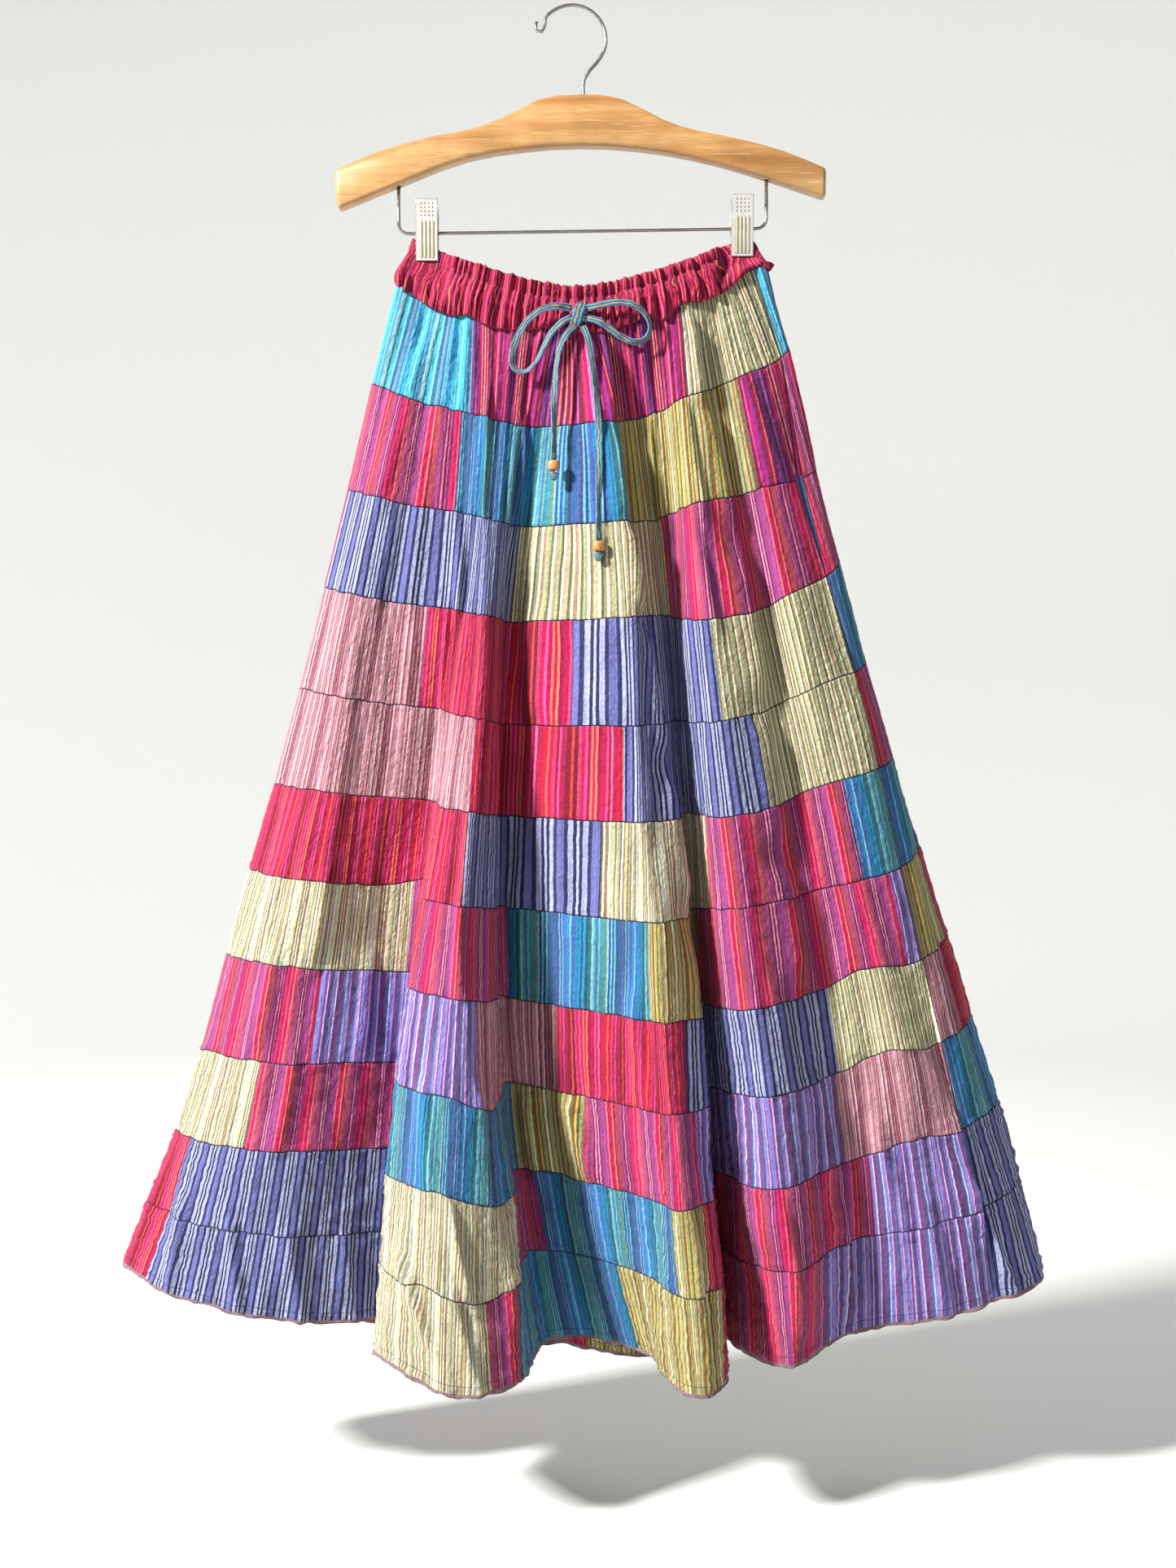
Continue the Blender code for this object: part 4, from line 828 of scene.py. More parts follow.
def creases(along, level):
    """How far the cloth stands out of its long folds, in metres: gathers, puckers and crinkles."""
    tier = np.clip(np.floor(level), 0, TIERS - 1)
    share = level - tier
    low = level / TIERS
    stretch = between(WAIST_STRETCH, 1.0, low)
    out = np.zeros_like(along)
    for place_0, level_0, place_1, level_1, half, rise in CREASES:
        down = (level - level_0) / (level_1 - level_0)
        off = (along - between(place_0, place_1, down)) * stretch
        width = np.where(off < 0, half, half * CREASE_STEEP)
        ends = smooth_step(down, 0.0, CREASE_FADE) * (1 - smooth_step(down, 1 - CREASE_FADE, 1.0))
        out += CREASE_SHARE * rise * ends * np.exp(-((off / width) ** 2))
    near_top = np.exp(-share / 0.20) * (tier > 0)
    near_foot = np.exp(-(1 - share) / 0.16) * (tier < TIERS - 1)
    for near, seam in ((near_top, tier), (near_foot, tier + 1)):
        puckers = wander(21, along, seam, 260, 11) + 0.6 * wander(22, along, seam, 520, 11)
        out += near * puckers * between(PUCKER_AT_WAIST, PUCKER_AT_HEM, low)
    for seed, waves, rows, at_waist, at_hem in CRINKLES:
        out += between(at_waist, at_hem, low) * wander(seed, along, level, waves, rows)
    fine = [
        1 - np.clip(abs(wander(seed, along, level, waves, rows, slant)) * 3.0, 0, 1)
        for seed, waves, rows, slant in FINE_CRINKLES
    ]
    out += sum(fine) * between(FINE_AT_WAIST, FINE_AT_HEM, low**1.5)
    gathers = np.cos(2 * pi * gather_turns(along)) * GATHER_DEPTH * np.exp(-level / 0.8)
    out += gathers * (1 + 0.4 * wander(27, along, level * 0, 90, 1))
    for seed, waves, rows, depth in FLUTES:
        out += depth * np.exp(-level / 3.5) * wander(seed, along, level, waves, rows)
    return out * (0.35 + 0.65 * smooth_step(level, 0.0, 0.4))


def seam_sway(along, seam):
    """Small steps in a seam's height, in metres, where the sewer's hand wandered."""
    seam = np.full_like(along, seam)
    return 0.0008 * wander(31, along, seam, 150, 11) + 0.0003 * wander(32, along, seam, 420, 11)


def cloth_shell(name, rows, cuts, materials):
    """A closed thin shell with its cloth map and seam distances. Each row of it holds its outer
    and its inner points, their places on the flat cloth across and down, and their distances from
    the strip's, the patch's and the hem's stitches. cuts holds, for each column of faces, the
    patch it lies in and that patch's shift of the map."""
    outer, inner, across, down, seams = (np.array(grid) for grid in zip(*rows))
    rows, columns = outer.shape[:2]
    points = np.concatenate((outer.reshape(-1, 3), inner.reshape(-1, 3)))
    inside = rows * columns
    row, column = np.meshgrid(np.arange(rows - 1), np.arange(columns - 1), indexing="ij")
    a = (row * columns + column).ravel()
    column = column.ravel()
    edge = np.arange(columns - 1)
    foot = (rows - 1) * columns + edge
    start = np.arange(rows - 1) * columns
    end = start + columns - 1
    faces = np.concatenate([np.stack(corners, axis=1) for corners in (
        (a, a + columns, a + columns + 1, a + 1),
        (a + inside, a + 1 + inside, a + columns + 1 + inside, a + columns + inside),
        (edge, edge + 1, edge + 1 + inside, edge + inside),
        (foot, foot + inside, foot + 1 + inside, foot + 1),
        (start, start + inside, start + columns + inside, start + columns),
        (end, end + columns, end + columns + inside, end + inside),
    )])
    face_column = np.concatenate(
        (column, column, edge, edge, np.zeros(rows - 1, int), np.full(rows - 1, columns - 2))
    )
    mesh = bpy.data.meshes.new(name)
    mesh.from_pydata(points.tolist(), [], faces.tolist())
    mesh.shade_smooth()
    patch, shift = cuts
    mesh.polygons.foreach_set("material_index", patch[face_column].astype(np.int32))
    corner = faces.ravel() % inside
    u = across.ravel()[corner] + np.repeat(shift[face_column], 4)
    v = down.ravel()[corner]
    cloth_map = mesh.uv_layers.new(name="cloth")
    cloth_map.data.foreach_set("uv", np.stack((u, v), axis=1).ravel())
    lines = mesh.attributes.new("seams", "FLOAT_VECTOR", "POINT")
    lines.data.foreach_set("vector", np.tile(seams.reshape(-1, 3), (2, 1)).ravel())
    return link_object(name, mesh, *materials)


def build_strip(panel, number, patches):
    """One strip of one panel between two seams, cut into its patches by material."""
    start, length = (0.0, FRONT_HEM) if panel == "front" else (FRONT_HEM, BACK_HEM)
    top, foot = number - 1, number
    height = abs(SEAM_HEIGHTS[top][1] - SEAM_HEIGHTS[foot][1])
    width = length * between(WAIST_STRETCH, 1.0, (number - 0.5) / TIERS)
    ends = np.array([end for _, end in patches])
    pitch = COLUMN_PITCH if number > 2 else COLUMN_PITCH * GATHERED_PITCH
    shares = np.linspace(0, 1, int(width / pitch))
    for end in ends[:-1]:
        shares = shares[abs(shares - end) > COLUMN_CLEAR]
        shares = np.concatenate((shares, (end - COLUMN_BESIDE, end, end + COLUMN_BESIDE)))
    stitched = 1 - TOPSTITCH / width
    topstitched = panel == "front" and number <= POCKET_BOTTOM
    if topstitched:
        shares = np.concatenate((shares, (stitched - COLUMN_BESIDE, stitched, stitched + COLUMN_BESIDE)))
    shares = np.unique(np.clip(shares, 0, 1))
    to_topstitch = abs(shares - stitched) * width + (0.0 if topstitched else UNSEWN)
    free = smooth_step(np.minimum(shares, 1 - shares) * width, 0.0, SEWN_DOWN)
    to_patch = np.min(abs(shares[:, None] - np.append(ends, 0.0)[None, :]), axis=1) * width
    rows, flat_width = [], 0.0
    for share in ROW_SHARES:
        level = top + share
        along = panel_places(panel, level, shares)
        levels = np.full_like(along, level)
        middle, normals = middle_surface(along, level), outward(along, level)
        flat_width = max(flat_width, steps(middle).sum() * FULLNESS)
        sway = between(seam_sway(along, top), seam_sway(along, foot), share)
        if number > 1 or share > STEADY_HEAD:
            middle[:, 2] += sway * free
        out = creases(along, levels) * free
        out += -PATCH_SEAM_DIP * np.exp(-((to_patch / PATCH_SEAM_WIDTH) ** 2))
        from_top, from_foot = share * height, (1 - share) * height
        near = min(from_top, from_foot)
        at_hem = number == TIERS and from_foot < from_top
        out = out - (0.0 if at_hem else EDGE_DIP * max(0.0, 1 - near / EDGE_ROLL) ** 2)
        middle[:, 2] -= HALF_GAP * (1 - 2 * share)
        half = CLOTH_HALF * (CLOTH_EDGE + (1 - CLOTH_EDGE) * min(1.0, near / EDGE_ROLL))
        half = np.full(len(along), half)
        to_hem = np.full(len(along), UNSEWN)
        if number == TIERS:
            to_hem = (1 - share) * (seam_height(along, top) - seam_height(along, foot))
            rolled = np.exp(-to_hem / HEM_ROLL)
            out = out + HEM_RIPPLE * rolled * free * wander(33, along, levels * 0, 260, 1)
            middle[:, 2] += HEM_WAVE * rolled * wander(34, along, levels * 0, 330, 1)
            half = CLOTH_HALF * (1 + HEM_SWELL * rolled)
        middle += normals * out[:, None]
        thick = normals * half[:, None]
        to_strip = np.minimum(CLEAR_OF_SEAM if at_hem else near, to_topstitch)
        rows.append((
            middle + thick, middle - thick, (along - start) / length,
            np.full(len(along), share * height), np.stack((to_strip, to_patch, to_hem), axis=1),
        ))
    rows = [(outer, inner, across * flat_width, down, seams) for outer, inner, across, down, seams in rows]
    letters = sorted({letter for letter, _ in patches})
    owner = np.searchsorted(ends, (shares[:-1] + shares[1:]) / 2)
    own_letter = np.array([letters.index(letter) for letter, _ in patches])
    shifts = np.append(0.0, -ends[:-1] * flat_width) + MAP_SLIDE * number * np.arange(len(patches))
    piece = cloth_shell(
        f"strip_{number:02d}_{panel}", rows, (own_letter[owner], shifts[owner]),
        [cottons[letter] for letter in letters],
    )
    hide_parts(f"tier_{number:02d}_{panel}")
    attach(piece, "root")
    return piece, flat_width, height * FULL_HEIGHT


for number in range(1, TIERS + 1):
    for panel, patches in zip(("front", "back"), PATCHES[2 * number - 2:2 * number]):
        strip, flat_width, flat_height = build_strip(panel, number, patches)


# The facing of the pocket: a strip sewn behind the opening in the right side seam, crimson above
# and sea blue below. It follows the front panel's creases and shows where the opening gapes.
FACING_INSET = 0.05
FACING_REACH = 0.93
FACING_BEHIND = 0.0065
FACING_DEPTH = 0.0017
FACING_HALF = 0.0004  # half of its thickness
FACING_WIDTH = 0.055
FACING_STRIP = 0.088  # the height of one strip beside it
FACING_CHANGE = 2.0  # the level where its cloth changes
FACING_ROWS, FACING_COLUMNS = 40, 16
rows = []
for level in np.linspace(POCKET_TOP + FACING_INSET, POCKET_BOTTOM - FACING_INSET, FACING_ROWS):
    stretch = between(WAIST_STRETCH, 1.0, level / TIERS)
    shares = np.linspace(FACING_REACH, 1.0, FACING_COLUMNS)
    behind = side_seam(level) + FACING_BEHIND / stretch * np.array((0.2, 0.6, 1.0))
    along = np.concatenate((panel_places("front", level, shares), behind))
    levels = np.full_like(along, level)
    beside = np.concatenate(((1 - shares) * FRONT_HEM * stretch, np.zeros(len(behind))))
    out = creases(along, levels) * smooth_step(beside, 0.0, SEWN_DOWN) - FACING_DEPTH
    middle, normals = middle_surface(along, level), outward(along, level)
    rows.append((
        middle + normals * (out + FACING_HALF)[:, None], middle + normals * (out - FACING_HALF)[:, None],
        np.linspace(0.0, FACING_WIDTH, len(along)), levels * FACING_STRIP,
        np.full((len(along), 3), UNSEWN),
    ))
columns = len(along) - 1
facing = cloth_shell(
    "pocket_lining_strip", rows, (np.zeros(columns, int), np.zeros(columns)),
    [cottons["E"], cottons["D"]],
)
change = middle_surface(np.array([side_seam(FACING_CHANGE)]), FACING_CHANGE)[0, 2]
for face in facing.data.polygons:
    face.material_index = int(face.center.z > change)
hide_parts("pocket_facing")
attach(facing, "root")


# The band at the waist: a casing round elastic with a ruffled header above it, in wine stripe.
# It is gathered and stitched, so it bulges in uneven scallops that hang over the first seam.
BAND_TOP_SIDE = -0.199
BAND_TOP_SAG = 0.046
BAND_TOP_BACK_SAG = 0.050
BAND_TOP_POWER = 1.5
BAND_TAPER = 0.915
BAND_HEAD_SHIFT = 0.002
BAND_HEAD_DEPTH = 0.8
PINCH_HALF_GAP = 0.0014
PINCH_FLAT = 0.0135
PINCH_FADE = 0.012
PINCH_FROM, PINCH_TO = 0.62, 0.95
CLIP_CENTRES = {"left": -0.1246, "right": 0.1460}
BAND_FULLNESS = 1.22
BAND_STRIPES = (
    (1.6, 164, 10, 64), (1.2, 108, 2, 46), (1.3, 184, 22, 82), (1.0, 220, 92, 98),
    (1.5, 128, 4, 54), (1.2, 198, 56, 104), (1.8, 154, 8, 62), (1.2, 82, 0, 34),
    (1.0, 226, 100, 82), (1.3, 102, 0, 42), (1.5, 146, 40, 98), (1.2, 110, 4, 48),
    (1.9, 172, 12, 70), (1.2, 218, 76, 112), (1.5, 96, 0, 38), (1.2, 186, 22, 78),
    (1.0, 228, 104, 80), (1.7, 120, 4, 50), (1.2, 164, 32, 86), (1.2, 78, 0, 32),
)
# Columns: share of the height, how far the outer face stands out, how far the inner face stands in
BAND_PROFILE = (
    (0.00, 0.0006, 0.0006), (0.03, 0.0014, 0.0008), (0.10, 0.0020, 0.0008), (0.20, 0.0016, 0.0008),
    (0.27, 0.0006, 0.0008), (0.30, 0.0002, 0.0008), (0.33, 0.0008, 0.0008), (0.38, 0.0026, 0.0008),
    (0.46, 0.0040, 0.0008), (0.55, 0.0050, 0.0008), (0.64, 0.0056, 0.0008), (0.73, 0.0056, 0.0008),
    (0.82, 0.0056, 0.0008), (0.90, 0.0054, 0.0008), (0.96, 0.0046, 0.0008), (1.00, 0.0028, 0.0008),
    (1.01, 0.0006, 0.0006),
)

CASING_SEAM = 0.30  # the stitched line between header and casing, as a share of the height
BAND_CLOTH = 0.055  # flat cloth down its face
BAND_FREE = 0.03  # the share of a panel where its side is sewn down
BAND_COLUMNS = 420
BAND_GATHERS, BAND_SMALL, BAND_PUCKERS = 0.0020, 0.0009, 0.0006  # heights of its waves
SLIP = 0.0040  # how far the stripes wander
SCALLOP, SCALLOP_WAVE = 0.0036, 0.0080
RUFFLE = 0.0014


def pinch(x, share):
    """1 where the band is free and 0 where a clip presses its two layers together."""
    free = np.ones_like(x)
    for centre in CLIP_CENTRES.values():
        free = free * smooth_step(abs(x - centre), PINCH_FLAT, PINCH_FLAT + PINCH_FADE)
    return np.maximum(free, smooth_step(share, PINCH_FROM, PINCH_TO))


def build_band(panel):
    """The band's front or back, from its ruffled head, share 0, to its foot at the first seam."""
    shares = np.linspace(0, 1, BAND_COLUMNS)
    along = panel_places(panel, 0.0, shares)
    foot = middle_surface(along, 0.0)
    normals = outward(along, 0.0)
    normals[0 if panel == "front" else -1] = (-1.0, 0.0, 0.0)
    sag = BAND_TOP_SAG if panel == "front" else BAND_TOP_BACK_SAG
    head_height = BAND_TOP_SIDE - sag * sag_shape(across_share(along), BAND_TOP_POWER)
    foot_height = foot[:, 2] + HALF_GAP
    zero = np.zeros_like(along)
    gathers = 0.55 * np.cos(2 * pi * gather_turns(along)) * (1 + 0.5 * wander(41, along, zero, 70, 1))
    gathers += 0.85 * wander(47, along, zero, 230, 1)
    small = wander(42, along, zero, 330, 1)
    free_side = smooth_step(np.minimum(shares, 1 - shares), 0.0, BAND_FREE)
    flat_width = steps(foot).sum() * BAND_FULLNESS
    rows = []
    for share, outside, inside in BAND_PROFILE:
        down = min(share, 1.0)
        levels = zero + share * 3
        x = between(foot[:, 0] * BAND_TAPER + BAND_HEAD_SHIFT, foot[:, 0], down)
        free = pinch(x, share)
        flat = np.sign(foot[:, 1]) * np.minimum(abs(foot[:, 1]), PINCH_HALF_GAP)
        y = flat + free * (foot[:, 1] * between(BAND_HEAD_DEPTH, 1.0, down) - flat)
        middle = np.column_stack((x, y, between(head_height, foot_height, down)))
        wave = BAND_GATHERS * gathers * (1.0 + 0.15 * (share < 0.25) + 0.35 * (share > 0.7))
        wave = wave + BAND_SMALL * small + BAND_PUCKERS * wander(43, along, levels, 400, 40)
        middle += normals * (wave * free * free_side)[:, None]
        in_casing = share > CASING_SEAM
        slip = SLIP * wander(49, along, levels, 90, 16) * (1.0 if in_casing else 0.4)
        bulge = 1.0 if share <= 0.33 else 1 + 0.65 * wander(44, along, levels, 60, 10)
        thick = np.minimum(outside, between(0.0011, outside * bulge, free))[:, None]
        thick = np.maximum(thick, 0.0004)
        scallop = SCALLOP + SCALLOP_WAVE * wander(45, along, zero, 34, 1)
        scallop = -0.0006 if share > 1 else scallop * smooth_step(share, 0.72, 0.98)
        ruffle = RUFFLE * wander(46, along, zero, 260, 1) * (1 - smooth_step(share, 0.0, 0.2))
        rise = (ruffle - scallop) * free_side
        inner = middle - normals * inside
        middle[:, 2] += rise
        # The dark dashed line along the casing seam is its thread stitches, and partly painted shade of
        # the channel there
        to_casing_seam = zero + abs(share - CASING_SEAM) * BAND_CLOTH
        rows.append((
            middle + normals * thick, inner, shares * flat_width + slip, zero + share * BAND_CLOTH,
            np.stack((to_casing_seam, zero + CLEAR_OF_SEAM, zero + UNSEWN), axis=1),
        ))
    piece = cloth_shell(
        f"band_{panel}", rows, (np.zeros(len(along) - 1, int), np.zeros(len(along) - 1)),
        [wine_cotton],
    )
    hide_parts(f"waistband_{panel}")
    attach(piece, "root")


wine_cotton = striped_cotton("band", "wine stripe", (138, 14, 60), BAND_STRIPES)
for panel in ("front", "back"):
    build_band(panel)


# The drawstring: a flat tube of blue, teal and khaki striped cotton, turned inside out and
# pressed, about 6 mm wide. It is tied in a bow, and each tail ends in a wooden bead and a small
# knot.
CORD_WIDTH = 0.0058
CORD_THICKNESS = 0.0024
CORD_SIDES = 14
LOOP_LEFT = (
    (-0.0002, -0.0306, -0.2669), (-0.012, -0.0335, -0.2660), (-0.027, -0.0345, -0.2700),
    (-0.038, -0.0335, -0.2790), (-0.046, -0.0310, -0.2920), (-0.050, -0.0290, -0.3060),
    (-0.0485, -0.0280, -0.3170), (-0.041, -0.0275, -0.3200), (-0.032, -0.0280, -0.3140),
    (-0.0245, -0.0290, -0.3010), (-0.018, -0.0305, -0.2890), (-0.0075, -0.0318, -0.2785),
    (0.0000, -0.0305, -0.2743),
)
LOOP_RIGHT = (
    (0.0113, -0.0304, -0.2673), (0.024, -0.0335, -0.2650), (0.036, -0.0345, -0.2630),
    (0.050, -0.0335, -0.2640), (0.061, -0.0310, -0.2710), (0.066, -0.0290, -0.2815),
    (0.063, -0.0280, -0.2915), (0.054, -0.0275, -0.2950), (0.043, -0.0285, -0.2915),
    (0.032, -0.0305, -0.2840), (0.0195, -0.0322, -0.2770), (0.0129, -0.0308, -0.2754),
)
TAIL_LEFT = (
    (0.0034, -0.0300, -0.2797), (-0.005, -0.0320, -0.2900), (-0.0100, -0.0325, -0.3000),
    (-0.0125, -0.0330, -0.3130), (-0.0142, -0.0335, -0.3350), (-0.0150, -0.0345, -0.3600),
    (-0.0150, -0.0355, -0.3960),
)
TAIL_RIGHT = (
    (0.0093, -0.0302, -0.2818), (0.0140, -0.0320, -0.2930), (0.0165, -0.0330, -0.3080),
    (0.0200, -0.0345, -0.3350), (0.0228, -0.0375, -0.3700), (0.0232, -0.0400, -0.4000),
    (0.0224, -0.0425, -0.4350), (0.0226, -0.0445, -0.4650),
)
# Columns: share of the way round the flat tube, then the colour on the card
CORD_COLOURS = (
    (0.00, 112, 158, 185), (0.06, 56, 108, 151), (0.13, 27, 58, 101), (0.17, 142, 139, 112),
    (0.25, 42, 70, 100), (0.29, 96, 143, 160), (0.37, 48, 90, 127), (0.42, 120, 163, 186),
    (0.50, 64, 108, 150), (0.56, 80, 137, 159), (0.72, 104, 158, 176), (0.85, 88, 141, 159),
    (0.94, 56, 100, 146),
)


def curve_through(knots, points):
    """Reads a smooth curve through the knots at evenly spaced shares of their chord length."""
    knots = np.array(knots, float)
    places = run_along(knots)
    return hermite(places, knots, np.linspace(0.0, places[-1], points))


def flat_tube(name, route, turns, material, width=CORD_WIDTH, thickness=CORD_THICKNESS, flat_side=None):
    """A flat tube of cloth along a route, a little uneven. turns gives its twist in degrees at
    even shares, and flat_side, if given, the direction of its width."""
    sides, last = CORD_SIDES, len(route) - 1
    ahead = np.gradient(route, axis=0)
    ahead /= np.linalg.norm(ahead, axis=1, keepdims=True)
    wide = np.cross(ahead, (0.0, -1.0, 0.0)) if flat_side is None else np.tile(flat_side, (len(route), 1))
    wide /= np.linalg.norm(wide, axis=1, keepdims=True)
    thin = np.cross(wide, ahead)
    shares = np.linspace(0, 1, len(route))
    twist = np.radians(np.interp(shares, np.linspace(0, 1, len(turns)), turns))
    length = run_along(route)
    angle = np.arange(sides) * 2 * pi / sides
    rings = []
    for i, point in enumerate(route):
        squeeze = 1 + 0.12 * sin(length[i] * 700) + 0.10 * sin(length[i] * 1730 + 1)
        narrow = 0.75 if i in (0, last) else 1
        narrow *= 1 + 0.06 * sin(length[i] * 530) + 0.05 * sin(length[i] * 1370 + 2)
        x = np.sign(np.cos(angle)) * abs(np.cos(angle)) ** 0.8 * width / 2 * narrow
        y = np.sign(np.sin(angle)) * abs(np.sin(angle)) ** 0.5 * thickness / 2 * squeeze
        y = y - thickness * 0.16 * np.sin(angle) ** 2 * np.sign(y) * (1 + sin(length[i] * 410))
        across = wide[i] * cos(twist[i]) + thin[i] * sin(twist[i])
        up = thin[i] * cos(twist[i]) - wide[i] * sin(twist[i])
        rings.append(point + x[:, None] * across + y[:, None] * up)
    faces, uvs = [], []
    for i in range(last):
        for j in range(sides):
            k = (j + 1) % sides
            faces.append((i * sides + j, i * sides + k, (i + 1) * sides + k, (i + 1) * sides + j))
            u0, u1 = j / sides, (j + 1) / sides
            uvs += [(u0, length[i]), (u1, length[i]), (u1, length[i + 1]), (u0, length[i + 1])]
    for ring in (0, last):
        loop = [ring * sides + j for j in range(sides)]
        faces.append(loop if ring else loop[::-1])
        uvs += [(0.0, length[ring])] * sides
    mesh = bpy.data.meshes.new(name)
    mesh.from_pydata(np.concatenate(rings).tolist(), [], faces)
    mesh.shade_smooth()
    cloth_map = mesh.uv_layers.new(name="cloth")
    cloth_map.data.foreach_set("uv", np.array(uvs).ravel())
    return link_object(name, mesh, material)


cord_cotton, tree, shader = new_material(
    "drawstring cotton", Roughness=0.85, Sheen_Weight=0.12, Specular_IOR_Level=0.25
)
place = add_node(tree, "UVMap", uv_map="cloth").outputs[0]
drift = maths(tree, "SUBTRACT", noise(tree, place, (0, 90, 1), 2.0), 0.5)
drift = maths(tree, "MULTIPLY_ADD", drift, 0.16, parted(tree, place)[0])
colour = colour_ramp(tree, maths(tree, "FRACT", drift), CORD_COLOURS, "CONSTANT")
speckle = noise(tree, place, (14, 1300, 1), 3.0)
colour = dimmed(tree, colour, ranged(tree, speckle, 0.3, 0.7, 0.55, 1.3))
link_looks(tree, shader, colour, ((speckle, 0.0004, 0.7),))


# The knots: the bow's knot in the middle of the band, and a small one below each bead that stops
# it. Each is made of a few turns of the cord, pulled round a centre.
# Columns: centre, arm towards the back, arm up or across, direction of the width, width, thickness
BOW_KNOT = (
    ((0.0056, -0.0294, -0.2722), (0, 0.0040, 0), (0.0028, 0, 0.0088), (-0.95, 0, 0.30), 0.0082, 0.0026),
    ((0.0062, -0.0294, -0.2696), (0, 0.0026, 0), (0.0056, 0, 0.0006), (-0.1, 0, 1), 0.0062, 0.0026),
    ((0.0074, -0.0296, -0.2748), (0, 0.0028, 0), (0.0050, 0, -0.0012), (0.2, 0, 1), 0.0056, 0.0024),
    ((0.0070, -0.0298, -0.2640), (0, 0.0020, 0.0004), (0.0026, 0, 0.0004), (-0.2, 0, 1), 0.0036, 0.0022),
)
END_KNOT = (
    ((0, 0, 0.0006), (0, 0.0019, 0.0004), (0.0026, 0, -0.0010), (0.35, 0, 0.94), 0.0052, 0.0024),
    ((0.0003, 0, -0.0004), (0, 0.0023, 0), (0.0012, 0, 0.0026), (-0.9, 0, 0.42), 0.0048, 0.0022),
)


def join_pieces(pieces, name):
    """One piece out of several, under a new name."""
    bpy.ops.object.select_all(action="DESELECT")
    for piece in pieces:
        piece.select_set(True)
    bpy.context.view_layer.objects.active = pieces[0]
    bpy.ops.object.join()
    pieces[0].name = name
    return pieces[0]


def tie_knot(name, node, turns, centre=(0, 0, 0)):
    """A knot of several turns of the cord, joined into one piece."""
    rings = []
    angle = np.linspace(0, 2 * pi, 30)[:, None]
    for i, (middle, back, arm, side, width, thickness) in enumerate(turns):
        route = np.array(centre) + np.array(middle)
        route = route + np.cos(angle) * np.array(back) + np.sin(angle) * np.array(arm)
        side = np.array(side) / np.linalg.norm(side)
        rings.append(flat_tube(f"{name}_{i}", route, (0, 0), cord_cotton, width, thickness, side))
    knot = join_pieces(rings, name)
    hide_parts(node)
    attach(knot, "root")
    return knot


def box_middle(node):
    """The middle of a CAD node's box."""
    low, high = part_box(node)
    return (low + high) / 2


bow_knot = tie_knot("bow_knot", "drawstring_knot", BOW_KNOT)
end_knots = {}
for side in ("left", "right"):
    node = f"drawstring_end_{side}"
    end_knots[side] = tie_knot(f"end_knot_{side}", node, END_KNOT, box_middle(node))


# The beads: turned from pale wood and drilled through, with rounded rims and a thin clear finish.
# Each is threaded on a tail, above the small knot that holds it.
BEAD_RADIUS = 0.0053
BEAD_HEIGHT = 0.0084
BEAD_ROUND = 0.0026
BEAD_RIM = 0.0007
BEAD_HOLE = 0.0020

bead_wood, tree, shader = new_material(
    "bead wood", Roughness=0.42, Coat_Weight=0.3, Coat_Roughness=0.25, Specular_IOR_Level=0.45
)
grain = noise(tree, own_place(tree), (900, 900, 240), 4.0, 0.6)
colour = colour_ramp(tree, grain, ((0.32, 158, 92, 48), (0.66, 226, 160, 100)))
link_looks(tree, shader, colour, ((grain, 0.0002, 0.5),))


def pick(mesh, kind, wanted):
    """In edit mode, selects the edges or faces for which wanted is true, and nothing else."""
    bpy.ops.mesh.select_mode(type=kind)
    bpy.ops.mesh.select_all(action="DESELECT")
    shape = bmesh.from_edit_mesh(mesh)
    for part in shape.edges if kind == "EDGE" else shape.faces:
        part.select = wanted(part)
    bmesh.update_edit_mesh(mesh)


def turned_bead(side):
    """A bead with rounded rims and a dished hole at both ends."""
    bpy.ops.object.select_all(action="DESELECT")
    bpy.ops.mesh.primitive_cylinder_add(
        vertices=40, radius=BEAD_RADIUS, depth=BEAD_HEIGHT, location=box_middle(f"drawstring_bead_{side}")
    )
    bead = bpy.context.object
    bead.name = f"bead_{side}"
    bpy.ops.object.mode_set(mode="EDIT")
    pick(bead.data, "EDGE", lambda edge: abs(edge.verts[0].co.z - edge.verts[1].co.z) < 1e-6)
    bpy.ops.mesh.bevel(offset=BEAD_ROUND, segments=6)
    pick(bead.data, "FACE", lambda face: len(face.verts) > 4)
    bpy.ops.mesh.inset(thickness=BEAD_RIM)
    bpy.ops.mesh.inset(thickness=0.0003, depth=-BEAD_HOLE)
    bpy.ops.object.mode_set(mode="OBJECT")
    bpy.ops.object.transform_apply(location=True, rotation=True, scale=True)
    bead.data.shade_smooth()
    bead.data.set_sharp_from_angle(angle=radians(50))
    bead.data.materials.append(bead_wood)
    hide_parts(f"drawstring_bead_{side}")
    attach(bead, "root")
    return bead


beads = {side: turned_bead(side) for side in ("left", "right")}


# The bow's two loops and the two tails: lengths of the cord that come out of the bow's knot. Each
# tail carries its bead and ends in its small knot.
CORDS = (
    # name, route, points, twist, far end, pieces on it
    ("loop_left", LOOP_LEFT, 90, (20, 0, -10, 25, 60, 30, 0), "object", (bow_knot,)),
    ("loop_right", LOOP_RIGHT, 80, (-10, 0, 20, 60, 40, 10, 0), "object", ()),
    ("tail_left", TAIL_LEFT, 70, (10, -20, -50, -20, 30, 55, 20), "knot",
     (beads["left"], end_knots["left"])),
    ("tail_right", TAIL_RIGHT, 100, (0, 15, 40, 10, -30, 10, 50, 20), "knot",
     (beads["right"], end_knots["right"])),
)
for name, knots, count, turns, far_end, held in CORDS:
    route = curve_through(knots, count)
    cord = flat_tube(f"cord_{name}", route, turns, cord_cotton)
    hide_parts(f"drawstring_{name}")
    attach(cord, "root")


